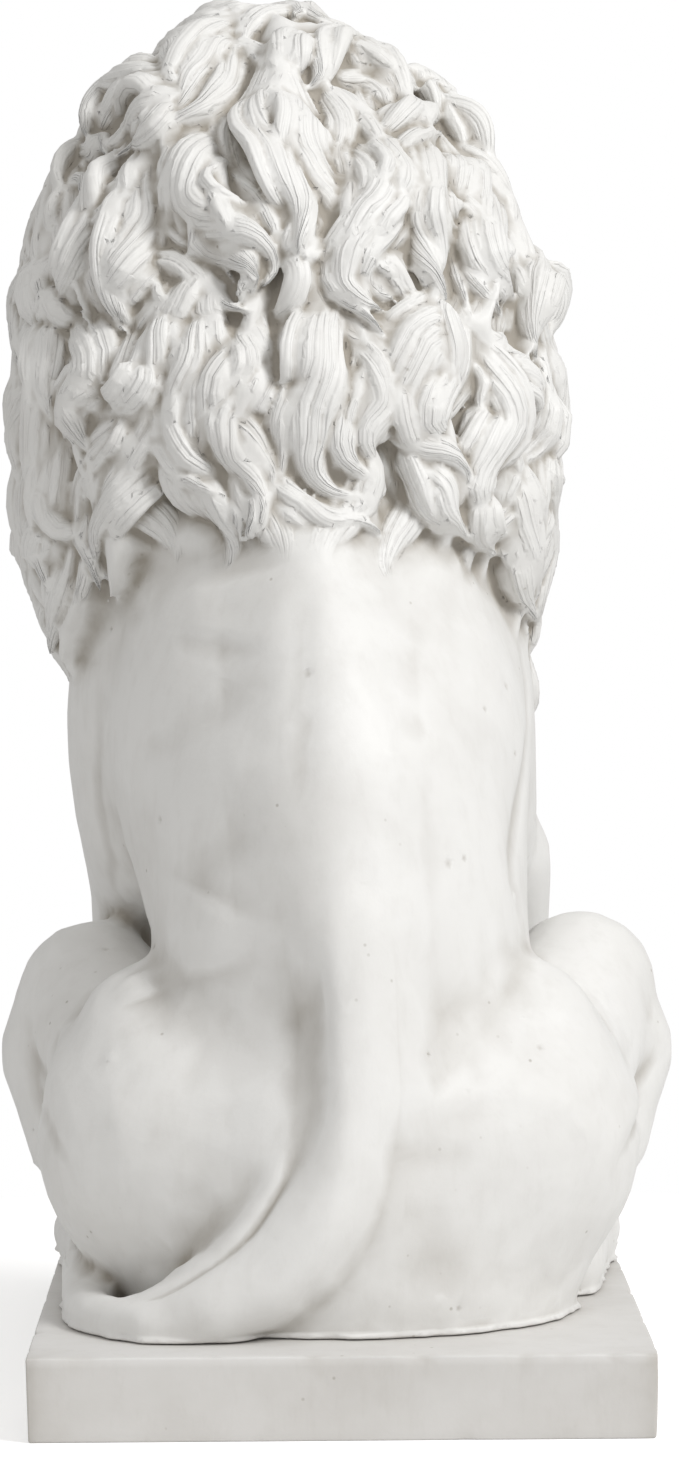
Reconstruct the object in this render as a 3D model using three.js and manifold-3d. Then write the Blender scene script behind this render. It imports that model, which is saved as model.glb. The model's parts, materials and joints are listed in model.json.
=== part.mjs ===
// A seated lion cast in white stone composite, bonded to a plain rectangular slab.
// Millimetres, +Z up. The lion faces +Y and +X is on its right, so a viewer behind it sees +X on the right.
// The origin is the middle of the slab's underside.
import * as THREE from 'three';
import { mergeVertices } from 'three/addons/utils/BufferGeometryUtils.js';
import Module from 'manifold-3d';

// Driving dimensions
const FIGURE_HEIGHT = 683; // from the slab's top to the crown of the mane
const PLINTH_THICKNESS = 41;
const PLINTH_SIDE_MARGIN = 2; // bare slab outside the hind feet
const PLINTH_REAR_MARGIN = 22; // bare slab behind the tail
const PLINTH_FRONT_MARGIN = 16; // bare slab in front of the forepaws
const PLINTH_UNDERCUT = 1; // how far the slab's sides draw in towards its underside
const PLINTH_ARRIS = 2; // worn edge round the slab's top

// The figure is laid out in modules, as a sculptor does: 683 of them make its height, so at this size one is 1 mm.
const FIGURE_MODULES = 683;
const MODULE = FIGURE_HEIGHT / FIGURE_MODULES;
const FOOTPRINT = { halfWidth: 149.5, rear: -208, front: 214 }; // what the feet and tail cover, in modules
const LION_TRIANGLES = 9500;
const CLAY_STEP = 6; // spacing of the modelling grid, in modules
const CLAY_BELOW = 18; // the clay runs this far below the slab's top before it is cut flat there

const STONE = { color: 0xe6e4df, roughness: 0.62, metalness: 0 };

const point = (x, y, z) => new THREE.Vector3(x, y, z);
const mix = THREE.MathUtils.lerp;
const radians = THREE.MathUtils.degToRad;
const mirrored = (side, x) => side * x;

// Clay is a grid of distances to the surface, negative inside. Forms are pressed on to it or carved out of it, and
// every join is rounded by its own blend radius.
class Clay {
  constructor(low, high, step) {
    this.low = low;
    this.step = step;
    this.size = high.clone().sub(low).divideScalar(step).ceil().addScalar(1);
    this.distance = new Float32Array(this.size.x * this.size.y * this.size.z).fill(100);
  }

  index(i, j, k) {
    return i + this.size.x * (j + this.size.y * k);
  }

  // Calls change(distance there, distance to the form) at each grid point in the form's box. The grid's outermost
  // layer always stays bare, which closes the skin.
  eachNear(form, reach, change) {
    const from = form.low.clone().subScalar(reach).sub(this.low).divideScalar(this.step).floor();
    const to = form.high.clone().addScalar(reach).sub(this.low).divideScalar(this.step).ceil();
    from.max(point(1, 1, 1));
    to.min(this.size.clone().subScalar(2));
    const at = point(0, 0, 0);
    for (let k = from.z; k <= to.z; k += 1) {
      for (let j = from.y; j <= to.y; j += 1) {
        for (let i = from.x; i <= to.x; i += 1) {
          at.set(i, j, k).multiplyScalar(this.step).add(this.low);
          const here = this.index(i, j, k);
          this.distance[here] = change(this.distance[here], form.distanceTo(at));
        }
      }
    }
  }

  press(form, blend) {
    this.eachNear(form, blend + 3 * this.step, (clay, added) => smoothMin(clay, added, blend));
  }

  carve(form, blend) {
    this.eachNear(form, blend + 3 * this.step, (clay, cut) => -smoothMin(-clay, cut, blend));
  }
}

function smoothMin(a, b, blend) {
  const overlap = Math.max(blend - Math.abs(a - b), 0) / blend;
  return Math.min(a, b) - (overlap * overlap * blend) / 4;
}

// An egg of three radii, turned by a quaternion.
function egg(centre, radii, turn = new THREE.Quaternion()) {
  const reach = Math.max(radii.x, radii.y, radii.z);
  const back = turn.clone().invert();
  const local = point(0, 0, 0);
  const scaled = point(0, 0, 0);
  return {
    low: centre.clone().subScalar(reach),
    high: centre.clone().addScalar(reach),
    distanceTo(at) {
      local.copy(at).sub(centre).applyQuaternion(back);
      const share = scaled.copy(local).divide(radii).length();
      const slope = scaled.divide(radii).length();
      return slope > 0 ? (share * (share - 1)) / slope : -Math.min(radii.x, radii.y, radii.z);
    },
  };
}

// A straight limb between two balls of its own radii.
function bone(from, fromRadius, to, toRadius) {
  const along = to.clone().sub(from);
  const lengthSquared = along.lengthSq();
  const reach = Math.max(fromRadius, toRadius);
  const local = point(0, 0, 0);
  return {
    low: from.clone().min(to).subScalar(reach),
    high: from.clone().max(to).addScalar(reach),
    distanceTo(at) {
      local.copy(at).sub(from);
      const share = THREE.MathUtils.clamp(local.dot(along) / lengthSquared, 0, 1);
      return local.addScaledVector(along, -share).length() - mix(fromRadius, toRadius, share);
    },
  };
}

// A rope through several joints, each [x, y, z, radius], with no swelling where its stretches meet.
function rope(joints) {
  const stretches = [];
  for (let n = 1; n < joints.length; n += 1) {
    const [ax, ay, az, ar] = joints[n - 1];
    const [bx, by, bz, br] = joints[n];
    stretches.push(bone(point(ax, ay, az), ar, point(bx, by, bz), br));
  }
  const low = stretches[0].low.clone();
  const high = stretches[0].high.clone();
  for (const stretch of stretches) {
    low.min(stretch.low);
    high.max(stretch.high);
  }
  return { low, high, distanceTo: (at) => Math.min(...stretches.map((stretch) => stretch.distanceTo(at))) };
}

// A limb through several joints, each [x, y, z, radius], which swells a little at each joint.
function pressLimb(clay, joints, blend) {
  for (let n = 1; n < joints.length; n += 1) {
    const [ax, ay, az, ar] = joints[n - 1];
    const [bx, by, bz, br] = joints[n];
    clay.press(bone(point(ax, ay, az), ar, point(bx, by, bz), br), blend);
  }
}

// A leaf is one stretch of a lock of hair: flat against the mane, thick in the middle and sharp at its sides.
function leaf(from, to, outward, fromHalf, toHalf, thickness) {
  const along = to.clone().sub(from);
  const lengthSquared = along.lengthSq();
  const across = along.clone().cross(outward).normalize();
  const upward = across.clone().cross(along).normalize();
  const reach = Math.max(fromHalf, toHalf);
  const local = point(0, 0, 0);
  return {
    low: from.clone().min(to).subScalar(reach),
    high: from.clone().max(to).addScalar(reach),
    distanceTo(at) {
      local.copy(at).sub(from);
      const share = THREE.MathUtils.clamp(local.dot(along) / lengthSquared, 0, 1);
      local.addScaledVector(along, -share);
      const half = mix(fromHalf, toHalf, share);
      const thick = thickness * Math.sqrt(half / reach);
      const side = local.dot(across) / half;
      const rise = local.dot(upward) / thick;
      const end = local.length() ** 2 - local.dot(across) ** 2 - local.dot(upward) ** 2;
      const round = Math.sqrt(side * side + rise * rise + Math.max(end, 0) / (thick * thick));
      return (round - 1) * thick;
    },
  };
}

// The trunk leans forward from the rump to the withers, and a little to the lion's left as it rises.
function pressTrunk(clay) {
  const soft = 34;
  pressLimb(clay, [
    [2, -92, 92, 99],
    [2, -56, 190, 88],
    [-8, -22, 275, 101],
    [-16, 16, 360, 100],
  ], soft);
  clay.press(egg(point(6, -112, 62), point(96, 84, 84)), soft);
  clay.press(egg(point(8, -96, 6), point(112, 84, 56)), soft);
  // the loins are broad and nearly flat, so that the spine hardly stands out from them
  clay.press(egg(point(0, -98, 210), point(74, 66, 124)), soft);
  clay.press(egg(point(-14, 72, 300), point(84, 72, 104)), soft);
  clay.press(egg(point(-11, 84, 214), point(50, 44, 52)), soft);
}

// The spine shows as a low rounded ridge between two shallow troughs.
function pressSpine(clay) {
  const vertebrae = [
    [6, -151, 190, 26],
    [0, -127, 262, 20],
    [-10, -101, 330, 17],
    [-16, -73, 392, 15],
  ];
  clay.press(rope(vertebrae), 30);
}

function pressForeleg(clay, side) {
  const middle = -8; // the forelegs stand a little to the left of the slab's middle
  const shoulderMiddle = -18; // and the shoulders further still, as the trunk leans that way
  const out = (x) => middle + mirrored(side, x);
  const atShoulder = (x) => shoulderMiddle + mirrored(side, x);
  clay.press(egg(point(atShoulder(82), 40, 290), point(43, 60, 92)), 22);
  clay.press(egg(point(mix(atShoulder(83), out(83), 0.5), 30, 238), point(33, 42, 44)), 20);
  pressLimb(clay, [
    [out(90), 66, 214, 35],
    [out(91), 104, 140, 32],
    [out(89), 126, 66, 26],
    [out(89), 132, 26, 28],
  ], 18);
  clay.press(egg(point(out(90), 152, 20), point(36, 44, 25)), 14);
  pressToes(clay, out(90), 184, 14, 1);
}

function pressToes(clay, x, y, z, size) {
  for (const toe of [-1.5, -0.5, 0.5, 1.5]) {
    const reach = Math.abs(toe) > 1 ? 0 : 8;
    const radii = point(10.5, 22, 16).multiplyScalar(size);
    clay.press(egg(point(x + toe * 17.5 * size, y + reach * size, z), radii), 3);
  }
}

function pressHindleg(clay, side) {
  const out = (x) => mirrored(side, x);
  const kneeHeight = side > 0 ? 152 : 148;
  clay.press(egg(point(out(79), -82, 88), point(75, 90, 82)), 20);
  pressLimb(clay, [
    [out(92), -60, 98, 54],
    [out(129), 18, kneeHeight, 40],
  ], 10);
  // the knob of the hip, where the photo shows a soft light boss
  clay.press(egg(point(out(104), -96, 148), point(22, 24, 24)), 18);
  // the shank folds back from the knee, outside the thigh, and leaves a groove beside it
  pressLimb(clay, [
    [out(135), 16, 118, 43],
    [out(128), -2, 82, 36],
    [out(113), -28, 46, 28],
    [out(108), -44, 18, 25],
  ], 6);
  pressLimb(clay, [
    [out(114), -44, 12, 22],
    [out(123), 56, 14, 26],
    [out(123), 82, 12, 26],
  ], 10);
  pressToes(clay, out(123), 100, 11, 0.88);
}

// The tail drops from the rump, swings to the lion's left along the slab and ends in a tuft beside the haunch.
function pressTail(clay) {
  const root = [
    [10, -152, 190, 28],
    [13, -163, 150, 31],
    [11, -171, 114, 32],
    [0, -177, 82, 31],
    [-22, -181, 50, 28],
    [-40, -183, 32, 26],
    [-60, -183, 20, 23],
    [-90, -179, 8, 16],
  ];
  clay.press(rope(root), 10);
  const end = [
    [-90, -179, 8, 16],
    [-106, -170, 6, 13],
    [-118, -154, 6, 12],
    [-126, -132, 6, 12],
    [-129, -90, 8, 13],
    [-126, -40, 13, 18],
    [-123, 0, 14, 10],
  ];
  clay.press(rope(end), 5);
}

// The head looks a little to the lion's left and down.
const HEAD = { at: point(-33, 84, 548), turn: radians(16), nod: radians(-7), tilt: radians(2) };
const headTurn = new THREE.Quaternion().setFromEuler(new THREE.Euler(HEAD.nod, HEAD.tilt, HEAD.turn, 'ZYX'));
const onHead = (x, y, z) => point(x, y, z).applyQuaternion(headTurn).add(HEAD.at);
const headEgg = (x, y, z, rx, ry, rz) => egg(onHead(x, y, z), point(rx, ry, rz), headTurn);

function headBone(from, to) {
  return bone(onHead(from[0], from[1], from[2]), from[3], onHead(to[0], to[1], to[2]), to[3]);
}

function pressSkull(clay) {
  clay.press(headEgg(0, 6, 20, 66, 74, 66), 20);
  clay.press(headEgg(0, 56, 34, 44, 36, 32), 16);
  clay.press(headBone([0, 62, 26, 24], [0, 130, 6, 15]), 12);
  clay.press(headBone([0, 50, -42, 30], [0, 112, -45, 18]), 10);
}

function pressFace(clay) {
  for (const side of [-1, 1]) {
    clay.press(headEgg(mirrored(side, 38), 54, -10, 27, 36, 34), 12);
    clay.press(headEgg(mirrored(side, 17), 118, -14, 21, 28, 20), 6);
    clay.carve(headEgg(mirrored(side, 27), 100, 20, 15, 17, 11), 8);
    clay.press(headEgg(mirrored(side, 25), 84, 21, 11, 10, 10), 2);
    clay.press(headEgg(mirrored(side, 24), 90, 36, 19, 10, 8), 6);
    clay.press(headEgg(mirrored(side, 31), 84, 8, 15, 11, 6), 6);
  }
  clay.press(headEgg(0, 141, 3, 19, 10, 12), 4);
  clay.carve(headEgg(0, 152, -16, 2.5, 12, 11), 4);
  for (const side of [-1, 1]) {
    clay.carve(headBone([mirrored(side, 1), 148, -27, 3], [mirrored(side, 34), 98, -35, 4]), 4);
    clay.carve(headEgg(mirrored(side, 9), 152, 0, 5, 5, 4), 2);
  }
  clay.press(headEgg(0, 120, -46, 18, 18, 13), 6);
}

function pressEars(clay) {
  for (const side of [-1, 1]) {
    clay.press(headEgg(mirrored(side, 62), 26, 66, 19, 13, 24), 8);
    clay.carve(headEgg(mirrored(side, 64), 42, 66, 12, 12, 16), 4);
  }
}

// The mane's core is a bell round the neck. Each station gives its height, its middle, and its reach to the sides, back
// and front. Azimuth 0 is the lion's back, 90 its right and 180 its chest.
const MANE_STATIONS = [
  { z: 270, x: -14, y: 52, side: 62, back: 30, front: 88 },
  { z: 330, x: -24, y: 40, side: 112, back: 82, front: 112 },
  { z: 390, x: -25, y: 34, side: 128, back: 104, front: 124 },
  { z: 460, x: -25, y: 40, side: 132, back: 110, front: 124 },
  { z: 520, x: -26, y: 50, side: 127, back: 107, front: 112 },
  { z: 570, x: -29, y: 62, side: 112, back: 97, front: 92 },
  { z: 610, x: -33, y: 74, side: 91, back: 82, front: 76 },
  { z: 640, x: -38, y: 86, side: 68, back: 60, front: 58 },
  { z: 660, x: -38, y: 92, side: 48, back: 42, front: 42 },
  { z: 671, x: -38, y: 94, side: 32, back: 26, front: 26 },
];
// Three tufts stand up from the crown: a broad one at the top, a lower one on its right and one over the left ear.
const CROWN_TUFTS = [
  { at: point(-50, 88, 659), radii: point(37, 36, 24) },
  { at: point(-8, 92, 652), radii: point(30, 34, 22) },
  { at: point(-112, 84, 620), radii: point(23, 32, 22) },
];
const CORE_KEYS = ['x', 'y', 'side', 'back', 'front'];

function maneStation(z) {
  const last = MANE_STATIONS.length - 1;
  let n = 0;
  while (n < last - 1 && z > MANE_STATIONS[n + 1].z) n += 1;
  const share = (z - MANE_STATIONS[n].z) / (MANE_STATIONS[n + 1].z - MANE_STATIONS[n].z);
  const held = THREE.MathUtils.clamp(share, 0, 1);
  const found = {};
  for (const key of CORE_KEYS) found[key] = mix(MANE_STATIONS[n][key], MANE_STATIONS[n + 1][key], held);
  return found;
}

function onMane(azimuth, z) {
  const s = maneStation(z);
  const forward = -Math.cos(azimuth);
  return point(s.x + s.side * Math.sin(azimuth), s.y + (forward < 0 ? s.back : s.front) * forward, z);
}

function outwardOfMane(azimuth, z) {
  const turn = 0.03;
  const rise = 6;
  const across = onMane(azimuth + turn, z).sub(onMane(azimuth - turn, z));
  const up = onMane(azimuth, Math.min(z + rise, 671)).sub(onMane(azimuth, z - rise));
  return across.cross(up).normalize();
}

function pressManeCore(clay) {
  const radii = point(0, 0, 0);
  const bell = {
    low: point(-185, -90, 250),
    high: point(130, 190, 690),
    distanceTo(at) {
      const s = maneStation(at.z);
      const x = at.x - s.x;
      const y = at.y - s.y;
      radii.set(s.side, y < 0 ? s.back : s.front, 1);
      const share = Math.hypot(x / radii.x, y / radii.y);
      const inward = Math.max(at.z - 671, 270 - at.z);
      return Math.max((share - 1) * Math.min(radii.x, radii.y), inward);
    },
  };
  clay.press(bell, 10);
  for (const { at, radii: reach } of CROWN_TUFTS) clay.press(egg(at, reach), 6);
}

// One lock runs from its root to its tip and sways from side to side on the way. Every row of a lock table is
// [root x, root z, tip x, tip z, half width, sway, half waves].
const LOCK_STRETCHES = 7;
const LOCK_THICKNESS = 13;
const TIP_LIFT = 8;

function pressLock(clay, rootAzimuth, rootZ, tipAzimuth, tipZ, half, sway, waves) {
  const spine = [];
  for (let n = 0; n <= LOCK_STRETCHES; n += 1) {
    const share = n / LOCK_STRETCHES;
    const z = mix(rootZ, tipZ, share);
    const s = maneStation(z);
    const girth = Math.max(s.side, 40);
    const azimuth = mix(rootAzimuth, tipAzimuth, share) + (sway * Math.sin(Math.PI * waves * share)) / girth;
    const outward = outwardOfMane(azimuth, z);
    const lift = TIP_LIFT * share * share;
    spine.push({
      at: onMane(azimuth, z).addScaledVector(outward, lift),
      outward,
      half: half * lockProfile(share),
    });
  }
  for (let n = 1; n < spine.length; n += 1) {
    const a = spine[n - 1];
    const b = spine[n];
    clay.press(leaf(a.at, b.at, b.outward, a.half, b.half, LOCK_THICKNESS), 2);
  }
}

// A lock is half its full width at the root, fullest two fifths down and pointed at the tip.
function lockProfile(share) {
  const fullest = 0.4;
  if (share < fullest) return mix(0.6, 1, Math.sin((share / fullest) * Math.PI / 2));
  return mix(1, 0.22, ((share - fullest) / (1 - fullest)) ** 1.6);
}

// The locks that the photo shows, from the crown down. x and z are in modules, seen square on from behind.
const BACK_LOCKS = [
  [-55, 664, -90, 597, 13, -11, 1],
  [-100, 632, -141, 596, 14, -8, 1],
  [-26, 664, -24, 632, 14, 2, 1],
  [-4, 660, -2, 628, 12, 8, 1],
  [16, 650, 50, 602, 13, 7, 1],
  [53, 634, 89, 580, 13, 8, 1],
  [-100, 626, -93, 588, 8, 2, 1],
  [-146, 592, -153, 494, 11, -3, 2],
  [-122, 591, -126, 492, 9, -14, 1],
  [-101, 591, -108, 500, 13, -10, 1],
  [-72, 609, -48, 512, 15, -14, 2],
  [-26, 638, -12, 524, 20, -10, 1],
  [6, 621, 24, 494, 13, 14, 2],
  [27, 610, 33, 518, 11, 9, 2],
  [49, 596, 57, 512, 14, -4, 1],
  [70, 588, 84, 500, 14, 4, 1],
  [94, 574, 106, 481, 12, 6, 1],
  [-154, 522, -153, 438, 13, -6, 2],
  [-119, 496, -125, 409, 13, -16, 1],
  [-92, 507, -98, 443, 10, 8, 2],
  [-66, 509, -44, 386, 14, -12, 2],
  [-84, 464, -50, 398, 12, -13, 1],
  [-38, 507, -29, 406, 9, -11, 2],
  [-5, 515, 23, 390, 18, -16, 1],
  [16, 507, 24, 410, 10, 8, 2],
  [56, 512, 66, 414, 17, -18, 1],
  [77, 501, 88, 380, 15, 19, 2],
  [48, 435, 66, 387, 10, -4, 1],
  [108, 512, 112, 417, 11, 7, 1],
  [-105, 448, -120, 364, 16, -4, 2],
  [-150, 448, -147, 348, 14, -5, 1],
  [-132, 390, -140, 326, 9, 3, 1],
  [98, 440, 98, 347, 14, 6, 1],
  [110, 422, 104, 342, 10, 5, 1],
];

// Where x meets the mane's back, as an azimuth.
function azimuthBehind(x, z) {
  const s = maneStation(z);
  return Math.asin(THREE.MathUtils.clamp((x - s.x) / (s.side + 12), -0.995, 0.995));
}

function pressBackLocks(clay) {
  for (const [rootX, rootZ, tipX, tipZ, half, sway, waves] of [...BACK_LOCKS].reverse()) {
    pressLock(clay, azimuthBehind(rootX, rootZ), rootZ, azimuthBehind(tipX, tipZ), tipZ, half, sway, waves);
  }
}

// Tiers of like locks fill the sides and the chest. Each hangs over the one below it.
const SIDE_TIERS = [
  { root: 600, drop: 96, from: 88, to: 128, count: 3, half: 13 },
  { root: 530, drop: 104, from: 84, to: 140, count: 4, half: 15 },
  { root: 458, drop: 112, from: 88, to: 146, count: 4, half: 16 },
  { root: 396, drop: 104, from: 92, to: 150, count: 4, half: 15 },
];
const CHEST_TIERS = [
  { root: 470, drop: 96, count: 4, spread: 50, half: 16 },
  { root: 412, drop: 100, count: 4, spread: 46, half: 16 },
  { root: 350, drop: 84, count: 3, spread: 34, half: 15 },
];

function pressSideLocks(clay) {
  for (const tier of [...SIDE_TIERS].reverse()) {
    for (let n = 0; n < tier.count; n += 1) {
      const share = n / (tier.count - 1);
      const stagger = 14 * Math.sin(2.3 * n + tier.root);
      for (const side of [-1, 1]) {
        const azimuth = side * radians(mix(tier.from, tier.to, share));
        const root = tier.root + stagger;
        const sway = side * (n % 2 ? 11 : -11);
        pressLock(clay, azimuth, root, azimuth + side * 0.06, root - tier.drop, tier.half, sway, 2);
      }
    }
  }
}

function pressChestLocks(clay) {
  for (const tier of [...CHEST_TIERS].reverse()) {
    for (let n = 0; n < tier.count; n += 1) {
      const share = n / (tier.count - 1) - 0.5;
      const azimuth = Math.PI + radians(share * tier.spread);
      const root = tier.root - 10 * Math.abs(share);
      pressLock(clay, azimuth, root, Math.PI + radians(share * tier.spread * 0.7), root - tier.drop, tier.half,
        n % 2 ? 9 : -9, 2);
    }
  }
}

// A ruff of locks springs from the edge of the face and is combed outwards and back.
const RUFF = { locks: 15, opening: 68, length: 78, half: 14 };

function pressRuff(clay) {
  for (let n = 0; n < RUFF.locks; n += 1) {
    const around = radians(mix(-142, 142, n / (RUFF.locks - 1)));
    const along = [];
    for (let step = 0; step <= 5; step += 1) {
      const share = step / 5;
      const swirl = around + 0.16 * Math.sin(Math.PI * 2 * share + n) + 0.1 * share * Math.sign(around);
      const reach = mix(RUFF.opening, RUFF.opening + 42, Math.sqrt(share));
      const at = onHead(reach * Math.sin(swirl), mix(62, 62 - RUFF.length, share), 8 + reach * Math.cos(swirl));
      const outward = at.clone().sub(onHead(0, mix(30, -30, share), 8)).normalize();
      along.push({ at, outward, half: RUFF.half * lockProfile(share) });
    }
    for (let step = 1; step < along.length; step += 1) {
      const a = along[step - 1];
      const b = along[step];
      clay.press(leaf(a.at, b.at, b.outward, a.half, b.half, LOCK_THICKNESS), 3);
    }
  }
}

// The six tetrahedra of a grid cube stand round its long diagonal, from corner 0 to corner 7. A corner's number has
// 1 for x, 2 for y and 4 for z.
const CUBE_TETRAHEDRA = [[0, 1, 3, 7], [0, 3, 2, 7], [0, 2, 6, 7], [0, 6, 4, 7], [0, 4, 5, 7], [0, 5, 1, 7]];
// By which corners are inside: an order of the four that keeps the tetrahedron's hand and puts those corners first.
const INSIDE_FIRST = {
  1: [0, 1, 2, 3], 2: [1, 0, 3, 2], 4: [2, 3, 0, 1], 8: [3, 2, 1, 0],
  3: [0, 1, 2, 3], 5: [0, 2, 3, 1], 9: [0, 3, 1, 2], 6: [1, 2, 0, 3], 10: [1, 3, 2, 0], 12: [2, 3, 0, 1],
};

// Marches through the clay and returns its surface, closed and facing out.
function skinOf(clay) {
  const { size, step, low, distance } = clay;
  const points = [];
  const triangles = [];
  const found = new Map();
  const offset = (corner) => (corner & 1) + size.x * (((corner >> 1) & 1) + size.y * ((corner >> 2) & 1));
  const offsets = [0, 1, 2, 3, 4, 5, 6, 7].map(offset);
  const cross = (here, a, b) => {
    const [near, far] = a < b ? [a, b] : [b, a];
    const key = (here + offsets[near]) * 8 + (far - near);
    if (found.has(key)) return found.get(key);
    const from = distance[here + offsets[near]];
    const to = distance[here + offsets[far]];
    const share = THREE.MathUtils.clamp(from / (from - to), 0.04, 0.96);
    const start = here + offsets[near];
    const i = start % size.x;
    const j = Math.floor(start / size.x) % size.y;
    const k = Math.floor(start / (size.x * size.y));
    const way = far - near;
    points.push(low.x + (i + share * (way & 1)) * step);
    points.push(low.y + (j + share * ((way >> 1) & 1)) * step);
    points.push(low.z + (k + share * ((way >> 2) & 1)) * step);
    const made = points.length / 3 - 1;
    found.set(key, made);
    return made;
  };
  for (let k = 0; k < size.z - 1; k += 1) {
    for (let j = 0; j < size.y - 1; j += 1) {
      for (let i = 0; i < size.x - 1; i += 1) {
        const here = clay.index(i, j, k);
        const inside = offsets.map((o) => distance[here + o] < 0);
        if (inside.every((x) => x === inside[0])) continue;
        for (const corners of CUBE_TETRAHEDRA) {
          const mask = corners.reduce((sum, corner, n) => sum + (inside[corner] ? 1 << n : 0), 0);
          if (mask === 0 || mask === 15) continue;
          const turned = !(mask in INSIDE_FIRST);
          const [p, q, r, s] = INSIDE_FIRST[turned ? 15 - mask : mask].map((n) => corners[n]);
          const pair = [3, 5, 9, 6, 10, 12].includes(mask);
          const loop = pair
            ? [cross(here, p, r), cross(here, p, s), cross(here, q, s), cross(here, q, r)]
            : [cross(here, p, q), cross(here, p, r), cross(here, p, s)];
          if (turned) loop.reverse();
          triangles.push(loop[0], loop[1], loop[2]);
          if (pair) triangles.push(loop[0], loop[2], loop[3]);
        }
      }
    }
  }
  return { points: Float64Array.from(points), triangles: Int32Array.from(triangles) };
}

// Merges edges, the flattest places first, until the surface has the wanted number of triangles. A corner's quadric
// sums the squared distances to the planes round it, as ten numbers of a symmetric 4 by 4 matrix.
function thinned({ points, triangles }, wanted) {
  const quadrics = quadricsOf(points, triangles);
  let faces = triangles;
  while (faces.length / 3 > wanted) {
    const before = faces.length;
    faces = mergeRound(points, faces, quadrics, wanted);
    if (faces.length === before) break;
  }
  return compacted(points, faces);
}

function quadricsOf(points, triangles) {
  const quadrics = new Float64Array((points.length / 3) * 10);
  const [a, b, c] = [point(0, 0, 0), point(0, 0, 0), point(0, 0, 0)];
  for (let t = 0; t < triangles.length; t += 3) {
    a.fromArray(points, triangles[t] * 3);
    b.fromArray(points, triangles[t + 1] * 3).sub(a);
    c.fromArray(points, triangles[t + 2] * 3).sub(a);
    const normal = b.cross(c);
    const area = normal.length();
    if (area < 1e-9) continue;
    normal.divideScalar(area);
    const plane = [normal.x, normal.y, normal.z, -normal.dot(a)];
    for (let n = 0; n < 3; n += 1) {
      let slot = triangles[t + n] * 10;
      for (let row = 0; row < 4; row += 1) {
        for (let column = row; column < 4; column += 1) {
          quadrics[slot] += plane[row] * plane[column] * area;
          slot += 1;
        }
      }
    }
  }
  return quadrics;
}

// The best place for the corner that two merge into, and the error that it costs.
function bestMerge(q, points, a, b) {
  const [xx, xy, xz, xd, yy, yz, yd, zz, zd, dd] = q;
  const error = (x, y, z) => x * x * xx + y * y * yy + z * z * zz + dd
    + 2 * (x * y * xy + x * z * xz + y * z * yz + x * xd + y * yd + z * zd);
  const cofactors = [yy * zz - yz * yz, xz * yz - xy * zz, xy * yz - xz * yy];
  const determinant = xx * cofactors[0] + xy * cofactors[1] + xz * cofactors[2];
  const middle = [0, 1, 2].map((n) => (points[a * 3 + n] + points[b * 3 + n]) / 2);
  const span = Math.hypot(...[0, 1, 2].map((n) => points[a * 3 + n] - points[b * 3 + n]));
  if (Math.abs(determinant) > 1e-4 * (xx + yy + zz) ** 3) {
    const x = -(cofactors[0] * xd + cofactors[1] * yd + cofactors[2] * zd) / determinant;
    const y = -(cofactors[1] * xd + (xx * zz - xz * xz) * yd + (xy * xz - xx * yz) * zd) / determinant;
    const z = -(cofactors[2] * xd + (xy * xz - xx * yz) * yd + (xx * yy - xy * xy) * zd) / determinant;
    if (Math.hypot(x - middle[0], y - middle[1], z - middle[2]) < span) {
      return { at: [x, y, z], cost: Math.abs(error(x, y, z)) + 1e-3 * span * span };
    }
  }
  return { at: middle, cost: Math.abs(error(...middle)) + 1e-3 * span * span };
}

// One round of merges. Corners next to a merge are left alone until the next round.
function mergeRound(points, faces, quadrics, wanted) {
  const corners = points.length / 3;
  const around = facesAround(corners, faces);
  const merges = [];
  for (let t = 0; t < faces.length; t += 3) {
    for (let n = 0; n < 3; n += 1) {
      const a = faces[t + n];
      const b = faces[t + ((n + 1) % 3)];
      if (a > b) continue;
      const q = new Array(10);
      for (let m = 0; m < 10; m += 1) q[m] = quadrics[a * 10 + m] + quadrics[b * 10 + m];
      merges.push({ a, b, ...bestMerge(q, points, a, b) });
    }
  }
  merges.sort((one, other) => one.cost - other.cost);
  const busy = new Uint8Array(corners);
  const gone = new Uint8Array(faces.length / 3);
  let left = faces.length / 3;
  for (const { a, b, at } of merges.slice(0, Math.ceil(merges.length * 0.45))) {
    if (left <= wanted) break;
    if (busy[a] || busy[b]) continue;
    const nearA = neighboursOf(a, faces, around);
    const nearB = neighboursOf(b, faces, around);
    const shared = [...nearA].filter((v) => nearB.has(v)).length;
    const whole = nearA.size + nearB.size - 2 - shared; // the corners round the pair, each counted once
    if (shared !== 2 || whole < 4 || flips(a, b, at, points, faces, around)) continue;
    if (flips(b, a, at, points, faces, around)) continue;
    points.set(at, a * 3);
    for (let m = 0; m < 10; m += 1) quadrics[a * 10 + m] += quadrics[b * 10 + m];
    for (const t of around(b)) {
      const has = [faces[t * 3], faces[t * 3 + 1], faces[t * 3 + 2]];
      if (has.includes(a)) gone[t] = 1;
      else faces[t * 3 + has.indexOf(b)] = a;
    }
    for (const v of [...nearA, ...nearB]) busy[v] = 1;
    left -= 2;
  }
  return faces.filter((_, n) => !gone[Math.floor(n / 3)]);
}

function facesAround(corners, faces) {
  const start = new Int32Array(corners + 1);
  for (const v of faces) start[v + 1] += 1;
  for (let v = 0; v < corners; v += 1) start[v + 1] += start[v];
  const filled = start.slice();
  const list = new Int32Array(faces.length);
  faces.forEach((v, n) => {
    list[filled[v]] = Math.floor(n / 3);
    filled[v] += 1;
  });
  return (v) => list.subarray(start[v], start[v + 1]);
}

function neighboursOf(v, faces, around) {
  const near = new Set();
  for (const t of around(v)) for (let n = 0; n < 3; n += 1) near.add(faces[t * 3 + n]);
  near.delete(v);
  return near;
}

const SLIVER = 0.1; // a triangle this thin, by twice its area over its longest side squared, isn't made

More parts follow.
